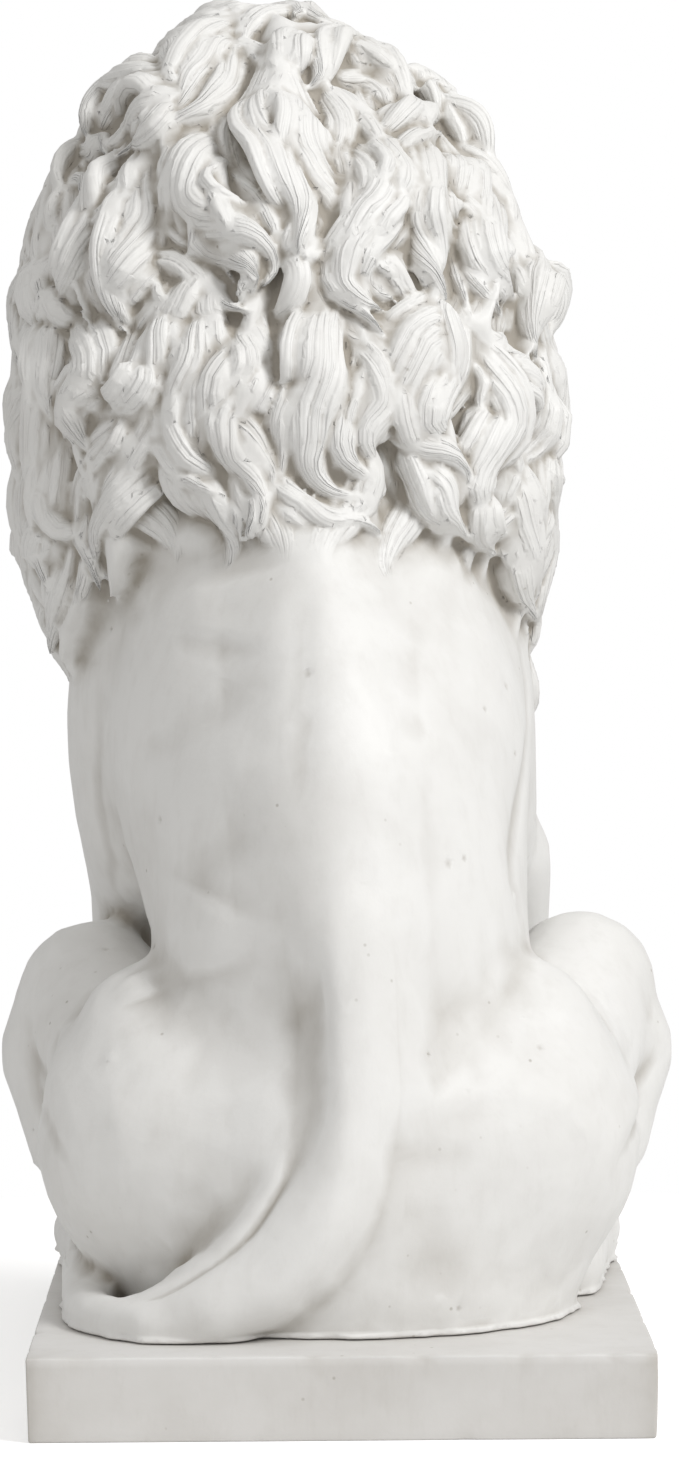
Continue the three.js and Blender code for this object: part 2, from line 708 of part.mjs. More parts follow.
// True if moving corner v to a new place would turn over or flatten a triangle that the merge keeps.
function flips(v, other, at, points, faces, around) {
  const [p, q, r] = [point(0, 0, 0), point(0, 0, 0), point(0, 0, 0)];
  for (const t of around(v)) {
    const has = [faces[t * 3], faces[t * 3 + 1], faces[t * 3 + 2]];
    if (has.includes(other)) continue;
    const next = has[(has.indexOf(v) + 1) % 3];
    const last = has[(has.indexOf(v) + 2) % 3];
    p.fromArray(points, v * 3);
    q.fromArray(points, next * 3);
    r.fromArray(points, last * 3);
    const before = q.clone().sub(p).cross(r.clone().sub(p));
    const wasSliver = before.length() < SLIVER * longestSideSquared(p, q, r);
    p.fromArray(at);
    const after = q.clone().sub(p).cross(r.clone().sub(p));
    const isSliver = after.length() < SLIVER * longestSideSquared(p, q, r);
    if (isSliver && !wasSliver) return true;
    if (!wasSliver && after.normalize().dot(before.normalize()) < 0.3) return true;
  }
  return false;
}

function longestSideSquared(p, q, r) {
  return Math.max(p.distanceToSquared(q), q.distanceToSquared(r), r.distanceToSquared(p));
}

function compacted(points, faces) {
  const kept = new Map();
  const position = [];
  const index = Array.from(faces, (v) => {
    if (!kept.has(v)) {
      kept.set(v, kept.size);
      position.push(...points.subarray(v * 3, v * 3 + 3));
    }
    return kept.get(v);
  });
  return { position, index };
}

// Geometry to solid and back, for the boolean cuts.
const wasm = await Module();
wasm.setup();

function solidOf(geometry) {
  return new wasm.Manifold(new wasm.Mesh({
    numProp: 3,
    vertProperties: new Float32Array(geometry.attributes.position.array),
    triVerts: new Uint32Array(geometry.index.array),
  }));
}

function boxSolid(width, depth, height, middle) {
  const box = new THREE.BoxGeometry(width, depth, height).translate(middle.x, middle.y, middle.z);
  box.deleteAttribute('normal');
  box.deleteAttribute('uv');
  return solidOf(mergeVertices(box));
}

function geometryOf(solid) {
  const { vertProperties, triVerts } = solid.getMesh();
  const geometry = new THREE.BufferGeometry();
  geometry.setAttribute('position', new THREE.BufferAttribute(new Float32Array(vertProperties), 3));
  geometry.setIndex(new THREE.BufferAttribute(new Uint32Array(triVerts), 1));
  geometry.computeVertexNormals();
  return geometry;
}

// The lion is modelled whole, thinned to flat facets and cut off flat at the slab's top.
function lionGeometry() {
  const clay = new Clay(point(-192, -216, -CLAY_BELOW - 2 * CLAY_STEP), point(192, 252, 702), CLAY_STEP);
  pressTrunk(clay);
  pressSpine(clay);
  for (const side of [-1, 1]) {
    pressHindleg(clay, side);
    pressForeleg(clay, side);
  }
  pressTail(clay);
  pressManeCore(clay);
  pressSkull(clay);
  pressChestLocks(clay);
  pressSideLocks(clay);
  pressBackLocks(clay);
  pressRuff(clay);
  pressFace(clay);
  pressEars(clay);
  const { position, index } = thinned(skinOf(clay), LION_TRIANGLES);
  const geometry = new THREE.BufferGeometry();
  geometry.setAttribute('position', new THREE.Float32BufferAttribute(position, 3));
  geometry.setIndex(index);
  geometry.scale(MODULE, MODULE, MODULE);
  const below = boxSolid(600 * MODULE, 600 * MODULE, 200 * MODULE, point(0, 0, -100 * MODULE));
  const pieces = solidOf(geometry).subtract(below).decompose();
  // crumbs that the tips of the locks leave in the air are dropped
  return geometryOf(pieces.reduce((largest, piece) => (piece.volume() > largest.volume() ? piece : largest)));
}

// The slab's sides lean in a little towards the ground, and its top edge is worn.
function plinthGeometry() {
  const halfWidth = FOOTPRINT.halfWidth * MODULE + PLINTH_SIDE_MARGIN;
  const rear = FOOTPRINT.rear * MODULE - PLINTH_REAR_MARGIN;
  const front = FOOTPRINT.front * MODULE + PLINTH_FRONT_MARGIN;
  const rings = [
    { z: 0, inset: PLINTH_UNDERCUT },
    { z: PLINTH_THICKNESS - PLINTH_ARRIS, inset: 0 },
    { z: PLINTH_THICKNESS, inset: PLINTH_ARRIS },
  ];
  const position = [];
  for (const { z, inset } of rings) {
    position.push(-halfWidth + inset, rear + inset, z, halfWidth - inset, rear + inset, z);
    position.push(halfWidth - inset, front - inset, z, -halfWidth + inset, front - inset, z);
  }
  const index = [0, 2, 1, 0, 3, 2, 8, 9, 10, 8, 10, 11];
  for (const ring of [0, 4]) {
    for (let n = 0; n < 4; n += 1) {
      const a = ring + n;
      const b = ring + ((n + 1) % 4);
      index.push(a, b, b + 4, a, b + 4, a + 4);
    }
  }
  const geometry = new THREE.BufferGeometry();
  geometry.setAttribute('position', new THREE.Float32BufferAttribute(position, 3));
  geometry.setIndex(index);
  geometry.computeVertexNormals();
  return geometry;
}

function stonePiece(name, geometry) {
  const mesh = new THREE.Mesh(geometry, new THREE.MeshStandardMaterial({ ...STONE, flatShading: true }));
  mesh.name = name;
  return mesh;
}

const lion = stonePiece('lion', lionGeometry());
lion.position.z = PLINTH_THICKNESS;

const statue = new THREE.Group();
statue.name = 'seated_lion_statue';
statue.add(lion, stonePiece('plinth', plinthGeometry()));

export default statue;
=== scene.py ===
# A seated lion with a full wavy mane, cast hollow in white stone composite and bonded to a plain slab. It
# is seen from behind, as in the photograph. The two pieces are made in the order in which the maker
# finishes them.
import json
import math
import random

import bmesh
import bpy
import numpy as np
from mathutils import Euler, Matrix, Vector
from mathutils.bvhtree import BVHTree
from mathutils.interpolate import poly_3d_calc

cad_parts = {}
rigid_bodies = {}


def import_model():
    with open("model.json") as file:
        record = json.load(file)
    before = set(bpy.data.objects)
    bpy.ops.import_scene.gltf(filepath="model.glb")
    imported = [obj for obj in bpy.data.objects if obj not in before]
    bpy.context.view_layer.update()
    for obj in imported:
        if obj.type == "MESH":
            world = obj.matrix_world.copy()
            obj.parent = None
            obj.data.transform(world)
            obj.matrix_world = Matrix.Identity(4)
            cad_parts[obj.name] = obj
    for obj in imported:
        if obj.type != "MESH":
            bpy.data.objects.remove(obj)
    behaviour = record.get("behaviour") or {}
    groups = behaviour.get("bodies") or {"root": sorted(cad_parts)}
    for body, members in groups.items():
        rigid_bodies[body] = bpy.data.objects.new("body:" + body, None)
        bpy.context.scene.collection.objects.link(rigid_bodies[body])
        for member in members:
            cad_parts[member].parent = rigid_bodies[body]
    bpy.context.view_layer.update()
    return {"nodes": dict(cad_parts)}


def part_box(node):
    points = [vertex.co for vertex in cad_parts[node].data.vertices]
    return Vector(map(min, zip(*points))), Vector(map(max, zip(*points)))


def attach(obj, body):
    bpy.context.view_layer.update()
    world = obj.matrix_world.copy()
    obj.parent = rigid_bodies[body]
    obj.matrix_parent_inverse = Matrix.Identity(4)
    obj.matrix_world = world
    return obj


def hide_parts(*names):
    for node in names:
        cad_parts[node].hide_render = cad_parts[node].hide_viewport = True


for left_over in list(bpy.data.objects):
    bpy.data.objects.remove(left_over)
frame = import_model()
slab_low, slab_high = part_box("plinth")
SLAB_TOP = slab_high.z


# The camera stands two metres behind the statue, level with its withers, and looks slightly down. A pixel
# of the photograph is a line of sight from it, which is how the locks of hair find their places.
PHOTO_WIDTH, PHOTO_HEIGHT = 679, 1457
FOCAL_PIXELS = 4636
CAMERA_AT = Vector((-0.0164, -2.430, 0.437))
CAMERA_TURN = (
    Matrix.Rotation(math.radians(-0.44), 4, "Z")
    @ Matrix.Rotation(math.radians(90 - 2.49), 4, "X")
    @ Matrix.Rotation(math.radians(-0.35), 4, "Z")
)

camera = bpy.data.objects.new("camera", bpy.data.cameras.new("camera"))
camera.data.sensor_width = 36
camera.data.lens = 36 * FOCAL_PIXELS / PHOTO_HEIGHT
camera.matrix_world = Matrix.Translation(CAMERA_AT) @ CAMERA_TURN
bpy.context.scene.collection.objects.link(camera)
bpy.context.scene.camera = camera


def sight_line(px, py):
    """The direction in which the camera sees this pixel of the photograph."""
    local = Vector((px - PHOTO_WIDTH / 2, PHOTO_HEIGHT / 2 - py, -FOCAL_PIXELS))
    return (CAMERA_TURN.to_3x3() @ local).normalized()


# The lion's body is a hollow casting of white stone composite. The solid from the frame is turned into fine
# clay, its facets are worked smooth, and its mane is combed flat to take the new locks.
MM = 0.001
CLAY_GRAIN = 3.2 * MM
MANE_STRIP = 4.0 * MM  # how much hair comes off the solid before the new hair goes on

PARTING_AT = np.array([-98, 76, 645]) * MM + [0, 0, SLAB_TOP]
PARTING_WIDTH = 22 * MM
PARTING_DEPTH = 11 * MM
HEAD_AT = Vector((-33, 84, 548)) * MM + Vector((0, 0, SLAB_TOP))
HEAD_TURN = Euler((math.radians(-7), math.radians(2), math.radians(16)), "XYZ").to_matrix()


def smooth_step(low, high, value):
    """0 below low, 1 above high and a smooth rise between, for numbers or arrays."""
    share = np.clip((value - low) / (high - low), 0, 1)
    return share * share * (3 - 2 * share)


def shown(name, mesh):
    """A new object with this mesh, in the scene."""
    made = bpy.data.objects.new(name, mesh)
    bpy.context.scene.collection.objects.link(made)
    return made


def settled(obj):
    """Makes obj's modifiers permanent."""
    bpy.context.view_layer.update()
    mesh = bpy.data.meshes.new_from_object(obj.evaluated_get(bpy.context.evaluated_depsgraph_get()))
    obj.modifiers.clear()
    obj.data = mesh
    return obj


def points_of(mesh):
    """The mesh's corners as rows of x, y and z."""
    found = np.empty(len(mesh.vertices) * 3)
    mesh.vertices.foreach_get("co", found)
    return found.reshape(-1, 3)


def normals_of(mesh):
    """The mesh's corner normals as rows of x, y and z."""
    found = np.empty(len(mesh.vertices) * 3)
    mesh.vertex_normals.foreach_get("vector", found)
    return found.reshape(-1, 3)


def move_to(mesh, points):
    """Moves the mesh's corners to these rows of x, y and z."""
    mesh.vertices.foreach_set("co", points.ravel())
    mesh.update()


def edge_ends(mesh):
    """Both ends of each edge, listed in both directions."""
    found = np.empty(len(mesh.edges) * 2, dtype=np.int32)
    mesh.edges.foreach_get("vertices", found)
    pairs = found.reshape(-1, 2)
    return np.concatenate([pairs, pairs[:, ::-1]])


def neighbour_mean(values, ends):
    """The mean of each corner's neighbours, for rows of numbers."""
    degree = np.maximum(np.bincount(ends[:, 0], minlength=len(values)), 1)
    sums = [np.bincount(ends[:, 0], weights=column[ends[:, 1]], minlength=len(values)) for column in values.T]
    return np.stack(sums, 1) / degree[:, None]


def worked_smooth(points, ends, rounds, share=1.0):
    """Smooths away bumps a few edges wide without shrinking the form. share is how much, for each corner."""
    for _ in range(rounds):
        for push in (0.5, -0.52):
            points = points + push * share * (neighbour_mean(points, ends) - points)
    return points


def in_head(points):
    """Points in the head's own millimetres: to its right, forward and up."""
    return (points - np.array(HEAD_AT)) @ np.array(HEAD_TURN) / MM


def mane_share(points):
    """1 where the solid is hair, 0 where it is body or face."""
    x, y, z = ((points - [0, 0, SLAB_TOP]) / MM).T
    fringe = 392 - 62 * smooth_step(55, 115, np.abs(x + 15))
    fringe = fringe + (236 - fringe) * smooth_step(30, 90, y)
    hair = smooth_step(0, 34, z - fringe)
    right, forward, up = in_head(points).T
    from_nose = np.hypot(right, up - 4)
    face = smooth_step(40, 52, forward) * (1 - smooth_step(60, 70, from_nose))
    return hair * (1 - face)


body_mesh = frame["nodes"]["lion"].data.copy()
merged = bmesh.new()
merged.from_mesh(body_mesh)
bmesh.ops.remove_doubles(merged, verts=merged.verts, dist=1e-6)
merged.to_mesh(body_mesh)
merged.free()
body = shown("lion_clay", body_mesh)
grain = body.modifiers.new("clay", "REMESH")
grain.mode = "VOXEL"
grain.voxel_size = CLAY_GRAIN
settled(body)

clay_points = points_of(body.data)
clay_ends = edge_ends(body.data)
hair_share = mane_share(clay_points)
# the edge between hair and skin is blurred, so that no step shows there
for _ in range(4):
    hair_share = neighbour_mean(hair_share[:, None], clay_ends)[:, 0]
above_slab = smooth_step(0.5, 5, (clay_points[:, 2] - SLAB_TOP) / MM)[:, None]
clay_points = worked_smooth(clay_points, clay_ends, 12, above_slab)
clay_points = worked_smooth(clay_points, clay_ends, 70, hair_share[:, None])
move_to(body.data, clay_points)
clay_points = clay_points - normals_of(body.data) * (hair_share * MANE_STRIP)[:, None]
# the crown and the tuft over the left ear stand apart, so the clay is pressed in between them
from_parting = np.linalg.norm(clay_points - PARTING_AT, axis=1) / PARTING_WIDTH
clay_points = clay_points - normals_of(body.data) * (PARTING_DEPTH * np.exp(-(from_parting**2)))[:, None]
move_to(body.data, clay_points)

clay = bmesh.new()
clay.from_mesh(body.data)
clay_tree = BVHTree.FromBMesh(clay)


# The mane is modelled lock by lock on the clay. Each lock is a bundle of strands that runs from root to tip
# in a long S, and lies on a broader, lower fold of hair that follows it. The locks behind follow the
# photograph.
LOCK_RISE = 8.5  # a lock's thickness over its middle, mm
LOCK_SIDES = 48
LOCK_RINGS = 22
FOLD_SPREAD = 1.6  # a fold is this much wider than its lock
STRAND_HALF = 3.1  # half the width of a strand, mm
dice = random.Random(7)


def seen_on_clay(px, py):
    """Where the line of sight through a pixel meets the clay, or passes closest to it, and the normal."""
    way = sight_line(px, py)
    spot, normal, _, _ = clay_tree.ray_cast(CAMERA_AT, way)
    if spot is not None:
        return spot, normal
    nearest = min(
        (clay_tree.find_nearest(CAMERA_AT + way * (2.28 + 0.01 * n)) for n in range(36)),
        key=lambda found: found[3],
    )
    return nearest[0], nearest[1]


def curve_through(stops, shares):
    """A smooth curve through the stops, at each share of its length from 0 to 1."""
    stops = np.array(stops)
    ends = np.vstack([2 * stops[0] - stops[1], stops, 2 * stops[-1] - stops[-2]])
    run = np.concatenate([[0], np.cumsum(np.linalg.norm(np.diff(stops, axis=0), axis=1) + 1e-6)])
    found = []
    for share in shares:
        n = min(int(np.searchsorted(run, share * run[-1], side="right")) - 1, len(stops) - 2)
        t = (share * run[-1] - run[n]) / (run[n + 1] - run[n])
        a, b, c, d = ends[n : n + 4]
        bend = (2 * a - 5 * b + 4 * c - d) * t**2 + (3 * b - a - 3 * c + d) * t**3
        found.append(0.5 * (2 * b + (c - a) * t + bend))
    return np.array(found)


def unit(rows):
    """The rows scaled to length 1."""
    return rows / np.maximum(np.linalg.norm(rows, axis=1, keepdims=True), 1e-9)


LOCK_MESH = bpy.data.meshes.new("lock")
round_ball = bmesh.new()
bmesh.ops.create_uvsphere(round_ball, u_segments=LOCK_SIDES, v_segments=LOCK_RINGS, radius=1)
round_ball.to_mesh(LOCK_MESH)
round_ball.free()
BALL = points_of(LOCK_MESH)
BALL_ALONG = np.arccos(np.clip(BALL[:, 2], -1, 1)) / math.pi
BALL_RING = np.rint(BALL_ALONG * LOCK_RINGS).astype(int)
between_poles = (BALL_RING > 0) & (BALL_RING < LOCK_RINGS)
ball_fullness = np.minimum(1, np.sin(math.pi * BALL_ALONG) * 3.2) ** 0.5 * between_poles
ball_angle = np.arctan2(BALL[:, 1], BALL[:, 0])
# a lens, with thin edges at its sides
BALL_SIDE = np.sign(np.cos(ball_angle)) * np.abs(np.cos(ball_angle)) ** 0.85 * ball_fullness
BALL_UP = np.sign(np.sin(ball_angle)) * np.abs(np.sin(ball_angle)) ** 1.2 * ball_fullness


class Hair:
    """Locks of hair in one mesh, and how far across and along its lock each corner lies, in mm."""

    def __init__(self):
        self.mesh = bmesh.new()
        self.combing = []

    def add_lock(self, stops, outward, half, rise=LOCK_RISE, lift=2.0, curl=3.0):
        """A lock through the stops on the clay, whose normals are outward. half is its half width in mm."""
        strands = max(2, round(half / STRAND_HALF))
        shares = np.linspace(0, 1, LOCK_RINGS + 1)
        spine = curve_through(stops, shares)
        out = unit(curve_through(outward, shares))
        sunk = 0.7 * rise * (1 - smooth_step(0, 0.3, shares))
        height = lift * smooth_step(0, 0.3, shares) - sunk + curl * smooth_step(0.6, 1, shares)
        spine = spine + out * (height * MM)[:, None]
        ahead = unit(np.gradient(spine, axis=0))
        across = unit(np.cross(ahead, out))
        out = np.cross(across, ahead)
        taper = 1 - 0.9 * smooth_step(0.45, 1.03, shares)
        width = half * (0.55 + 0.45 * smooth_step(0, 0.3, shares)) * taper
        depth = rise * (0.28 + 0.72 * width / half)
        twist = dice.uniform(-0.8, 0.8)
        lean = dice.uniform(-0.35, 0.35)
        furrow = np.abs(np.sin(math.pi * (strands * (BALL_SIDE * 0.5 + 0.5) + twist * BALL_ALONG)))
        ridge = np.where(BALL_UP > 0, (0.66 + 0.34 * furrow**0.8) * (1 + lean * BALL_SIDE), 1)
        sideways = (BALL_SIDE * width[BALL_RING])[:, None] * across[BALL_RING]
        upwards = (BALL_UP * ridge * depth[BALL_RING])[:, None] * out[BALL_RING]
        move_to(LOCK_MESH, spine[BALL_RING] + (sideways + upwards) * MM)
        self.mesh.from_mesh(LOCK_MESH)
        length = np.linalg.norm(np.diff(spine, axis=0), axis=1).sum() / MM
        self.combing += zip(BALL_SIDE * half + dice.uniform(0, 40), BALL_ALONG * length)

    def add_fold(self, stops, outward, half):
        """The fold of hair that a lock with these stops and half width lies on."""
        self.add_lock(stops, outward, half * FOLD_SPREAD, rise=LOCK_RISE * 0.9, lift=-3.0, curl=0)


hair = Hair()

# Every lock of the mane's back: its half width in mm, how far it stands up, and the pixels of the
# photograph that its middle passes through, root first.
BROAD_LOCKS = [
    (20, 3, [(298, 84), (300, 130), (308, 175), (316, 215), (304, 264)]),
    (16, 0, [(235, 110), (222, 160), (234, 210), (262, 250), (278, 292)]),
    (18, 1, [(370, 130), (380, 180), (370, 230), (358, 272), (375, 312)]),
    (20, 1, [(430, 150), (436, 200), (450, 250), (468, 300), (480, 342)]),
    (18, 1, [(490, 170), (500, 220), (512, 270), (522, 332)]),
    (20, 1, [(150, 160), (140, 210), (124, 260), (120, 300), (136, 342)]),
    (18, 1, [(70, 160), (62, 220), (58, 280), (60, 332)]),
    (20, 2, [(215, 290), (216, 350), (214, 410), (234, 465), (250, 510)]),
    (20, 2, [(296, 232), (290, 282), (285, 350), (280, 415), (280, 482)]),
    (14, 3, [(366, 246), (380, 278), (396, 310), (410, 350)]),
    (15, 3, [(372, 396), (380, 438), (392, 478), (404, 522)]),
    (22, 2, [(345, 290), (346, 350), (340, 410), (346, 460), (376, 492)]),
    (22, 2, [(430, 290), (430, 350), (424, 410), (444, 460), (456, 502)]),
    (20, 2, [(500, 320), (516, 380), (514, 430), (500, 480), (505, 532)]),
    (14, 1, [(545, 320), (552, 400), (554, 480)]),
    (20, 2, [(150, 320), (142, 380), (130, 430), (110, 484), (100, 542)]),
    (18, 1, [(60, 320), (55, 390), (50, 450), (45, 520), (56, 592)]),
    (12, 0, [(26, 290), (22, 380), (26, 480)]),
    (16, 1, [(534, 430), (530, 500), (532, 560), (536, 612)]),
    (14, 1, [(332, 20), (290, 12), (240, 14), (200, 28), (178, 56)]),
    (16, 1, [(250, 20), (210, 45), (184, 85), (170, 132)]),
    (16, 0, [(285, 30), (280, 56), (292, 86)]),
    (18, 1, [(340, 30), (365, 60), (390, 95), (405, 132)]),
    (16, 0, [(400, 60), (440, 100), (480, 140), (506, 182)]),
    (14, 1, [(165, 90), (130, 100), (106, 125), (95, 156)]),
]
CROWN_LOCKS = [
    (9, 5, [(266, 14), (215, 22), (182, 44), (168, 74), (180, 98)]),
    (9, 6, [(252, 42), (216, 50), (194, 80), (180, 114), (152, 136)]),
    (8, 6, [(278, 52), (242, 56), (228, 82), (205, 110), (174, 128), (164, 156)]),
    (10, 6, [(182, 92), (142, 84), (106, 94), (90, 118), (94, 150)]),
    (8, 5, [(178, 100), (150, 106), (136, 128), (118, 146), (92, 156)]),
    (7, 5, [(168, 112), (155, 132), (138, 150), (112, 160)]),
    (7, 5, [(322, 20), (290, 14), (256, 22), (242, 44), (264, 68)]),
    (8, 4, [(318, 36), (298, 50), (290, 74), (302, 90)]),
    (8, 5, [(338, 30), (322, 50), (318, 78), (304, 92)]),
    (9, 4, [(348, 24), (352, 54), (376, 80), (396, 100)]),
    (9, 4, [(366, 24), (386, 50), (415, 70), (434, 98), (456, 104)]),
    (7, 5, [(332, 76), (360, 88), (384, 102), (396, 126)]),
    (9, 4, [(402, 56), (426, 74), (450, 96), (478, 120), (496, 148)]),
    (9, 4, [(442, 96), (464, 126), (488, 150), (506, 184)]),
    (8, 4, [(456, 150), (482, 166), (506, 200), (522, 230)]),
    (6, 6, [(388, 128), (410, 113), (432, 118), (442, 134)]),
    (5, 5, [(396, 150), (415, 141), (438, 137)]),
]
NAPE_LOCKS = [
    (10, 6, [(268, 94), (266, 130), (280, 170), (300, 205), (304, 244), (301, 266)]),
    (12, 7, [(296, 90), (302, 130), (312, 170), (329, 204), (322, 234), (305, 258)]),
    (10, 6, [(324, 96), (338, 126), (329, 158), (345, 188), (345, 214), (326, 240), (306, 268)]),
    (8, 3, [(236, 102), (222, 136), (232, 174), (258, 198), (278, 232), (298, 268)]),
    (10, 7, [(212, 136), (191, 160), (189, 194), (215, 221), (254, 240), (268, 266), (255, 292)]),
    (9, 6, [(200, 150), (179, 180), (182, 214), (205, 238), (236, 251), (249, 274), (242, 304)]),
    (7, 4, [(178, 190), (176, 226), (192, 252), (222, 262), (236, 284)]),
    (7, 6, [(150, 262), (178, 266), (203, 284), (225, 304), (250, 312)]),
    (6, 3, [(162, 280), (164, 302), (184, 318), (216, 322)]),
    (11, 7, [(150, 174), (150, 205), (138, 240), (119, 274), (112, 304), (130, 328)]),
    (8, 5, [(168, 178), (166, 218), (158, 254), (148, 288), (150, 314)]),
    (7, 5, [(128, 180), (105, 205), (86, 235), (72, 270), (75, 304), (92, 334), (118, 350)]),
    (7, 5, [(120, 200), (102, 230), (92, 262), (92, 294), (106, 324)]),
    (10, 4, [(76, 170), (68, 205), (66, 250), (58, 290), (62, 320)]),
    (9, 4, [(46, 172), (42, 205), (38, 245), (42, 290), (48, 330)]),
    (9, 6, [(352, 144), (372, 172), (376, 200), (352, 232), (332, 262), (336, 288), (362, 312), (384, 342)]),
    (7, 5, [(386, 196), (372, 225), (349, 254), (346, 282), (362, 300), (384, 318)]),
    (9, 6, [(394, 150), (400, 188), (392, 224), (370, 250), (363, 274), (386, 292), (410, 279)]),
    (5, 5, [(412, 246), (395, 256), (381, 268), (396, 279), (411, 268)]),
    (10, 5, [(412, 166), (408, 200), (418, 240), (432, 275), (440, 308)]),
    (9, 4, [(430, 166), (433, 206), (446, 246), (458, 284), (470, 316)]),
    (11, 4, [(455, 176), (453, 216), (466, 255), (482, 290), (500, 320)]),
    (9, 4, [(480, 190), (486, 230), (496, 265), (506, 300), (508, 334)]),
    (10, 4, [(524, 246), (532, 285), (529, 325), (535, 366)]),
    (8, 4, [(546, 252), (551, 300), (555, 340)]),
]
COLLAR_LOCKS = [
    (11, 8, [(219, 322), (226, 355), (212, 390), (201, 422), (208, 454), (238, 480), (258, 508), (250, 546)]),
    (9, 7, [(200, 322), (197, 355), (187, 395), (183, 430), (192, 460), (222, 488), (241, 520), (247, 548)]),
    (8, 7, [(241, 326), (246, 360), (232, 394), (223, 424), (235, 452), (258, 477), (263, 514), (253, 545)]),
    (8, 5, [(178, 326), (184, 360), (170, 394), (164, 430), (171, 462), (200, 489), (232, 507)]),
    (8, 5, [(264, 318), (263, 354), (250, 385), (240, 412), (256, 440), (270, 470), (268, 504), (256, 530)]),
    (9, 4, [(286, 320), (283, 355), (291, 386), (281, 420), (284, 460), (276, 500)]),
    (11, 7, [(331, 312), (318, 350), (322, 385), (309, 425), (311, 464), (333, 494), (371, 503)]),
    (10, 7, [(346, 312), (362, 350), (356, 390), (339, 425), (346, 462), (378, 499)]),
    (8, 6, [(362, 336), (378, 370), (378, 405), (363, 440), (368, 472), (381, 500)]),
    (6, 5, [(276, 480), (296, 506), (326, 520), (354, 518), (380, 538)]),
    (12, 7, [(441, 318), (419, 345), (403, 380), (401, 414), (420, 440), (447, 455), (459, 482), (451, 503)]),
    (10, 6, [(456, 326), (449, 360), (433, 395), (431, 425), (448, 446), (466, 474)]),
    (7, 5, [(419, 322), (397, 350), (389, 385), (391, 420), (406, 450), (441, 470)]),
    (7, 7, [(402, 450), (420, 475), (430, 510), (456, 537)]),
    (7, 6, [(420, 462), (440, 482), (446, 514), (466, 541)]),
    (10, 7, [(488, 346), (513, 366), (533, 395), (540, 424), (521, 448), (493, 470), (486, 500),
             (499, 526), (502, 556)]),
    (9, 6, [(471, 346), (490, 372), (505, 400), (507, 425), (490, 446), (478, 470), (476, 500),
            (489, 530), (501, 556)]),
    (5, 5, [(468, 368), (480, 390), (477, 414), (458, 430)]),
    (9, 5, [(118, 352), (93, 378), (73, 405), (80, 434), (95, 462)]),
    (9, 6, [(138, 350), (150, 375), (136, 400), (109, 420), (93, 448), (88, 478)]),
    (9, 4, [(76, 326), (91, 355), (85, 385), (67, 410), (62, 446), (80, 482)]),
    (8, 4, [(166, 326), (162, 360), (150, 392), (142, 418), (150, 446)]),
    (10, 5, [(40, 272), (24, 302), (22, 345), (34, 386)]),
    (10, 4, [(60, 330), (55, 364), (50, 400), (58, 432)]),
    (10, 5, [(28, 390), (20, 430), (24, 470), (34, 502)]),
]
SHOULDER_LOCKS = [
    (11, 7, [(133, 424), (106, 456), (89, 492), (86, 530), (97, 560), (103, 588)]),
    (10, 6, [(148, 430), (136, 466), (118, 500), (101, 530), (95, 562)]),
    (8, 5, [(165, 446), (158, 480), (140, 512), (112, 537)]),
    (10, 5, [(52, 446), (38, 480), (34, 520), (42, 560), (60, 604)]),
    (10, 5, [(70, 450), (62, 490), (60, 530), (56, 570), (64, 612)]),
    (8, 6, [(86, 520), (76, 560), (62, 600), (54, 652)]),
    (9, 5, [(531, 456), (506, 480), (499, 510), (515, 545), (522, 590), (535, 626)]),
    (9, 5, [(546, 470), (541, 510), (546, 555), (541, 600), (536, 630)]),
    (9, 4, [(516, 482), (521, 520), (531, 560), (533, 602)]),
    (9, 4, [(556, 345), (565, 385), (566, 430), (556, 478)]),
    (7, 4, [(476, 502), (479, 530), (491, 556)]),
]


def met_by(pixels):
    """Where the lines of sight through these pixels meet the clay, and the normals there."""
    met = [seen_on_clay(px, py) for px, py in pixels]
    return [spot for spot, _ in met], [normal for _, normal in met]


for half, lift, pixels in BROAD_LOCKS:
    hair.add_lock(*met_by(pixels), half, rise=8, lift=lift - 5, curl=0)
for half, lift, pixels in CROWN_LOCKS + NAPE_LOCKS + COLLAR_LOCKS + SHOULDER_LOCKS:
    # each root starts a little higher, under the locks above it
    (px, py), (next_px, next_py) = pixels[:2]
    if py > 90:
        pixels = [(px + (px - next_px) * 0.6, py + (py - next_py) * 0.6)] + pixels
    stops, outward = met_by(pixels)
    hair.add_fold(stops, outward, half * 1.25)
    hair.add_lock(stops, outward, half * 1.25, lift=lift - 4.5, curl=1 if py < 90 else 2.5)


# Under and between those locks, and round the sides and the chest where the photograph doesn't reach, the
# hair falls in rows like shingles. A place on the mane is an azimuth, with 0 behind and 90 on the lion's
# right, and a height.
MANE_HEART = Vector((-26, 46, 0)) * MM
CROWN_START = 560  # above this height the rows close in over the head
CROWN_HEIGHT = 683
FACE_HALF_ANGLE = 72  # the rows stop this many degrees short of the nose's line
HEAD_AZIMUTH = 180 + 16


def on_mane(azimuth, height):
    """The clay's surface at an azimuth in degrees and a height above the slab in mm, and the normal there."""
    turn = math.radians(azimuth)
    climb = max(0, height - CROWN_START) / (CROWN_HEIGHT - CROWN_START) * math.pi / 2
    heart = MANE_HEART + Vector((0, 0, min(height, CROWN_START) * MM + SLAB_TOP))
    lean = Vector((-10, 34, 0)) * MM * min(1, max(0, height - CROWN_START) / 60)
    way = Vector((math.sin(turn) * math.cos(climb), -math.cos(turn) * math.cos(climb), math.sin(climb)))
    spot, normal, _, _ = clay_tree.ray_cast(heart + lean + way * 0.4, -way)
    return spot, normal


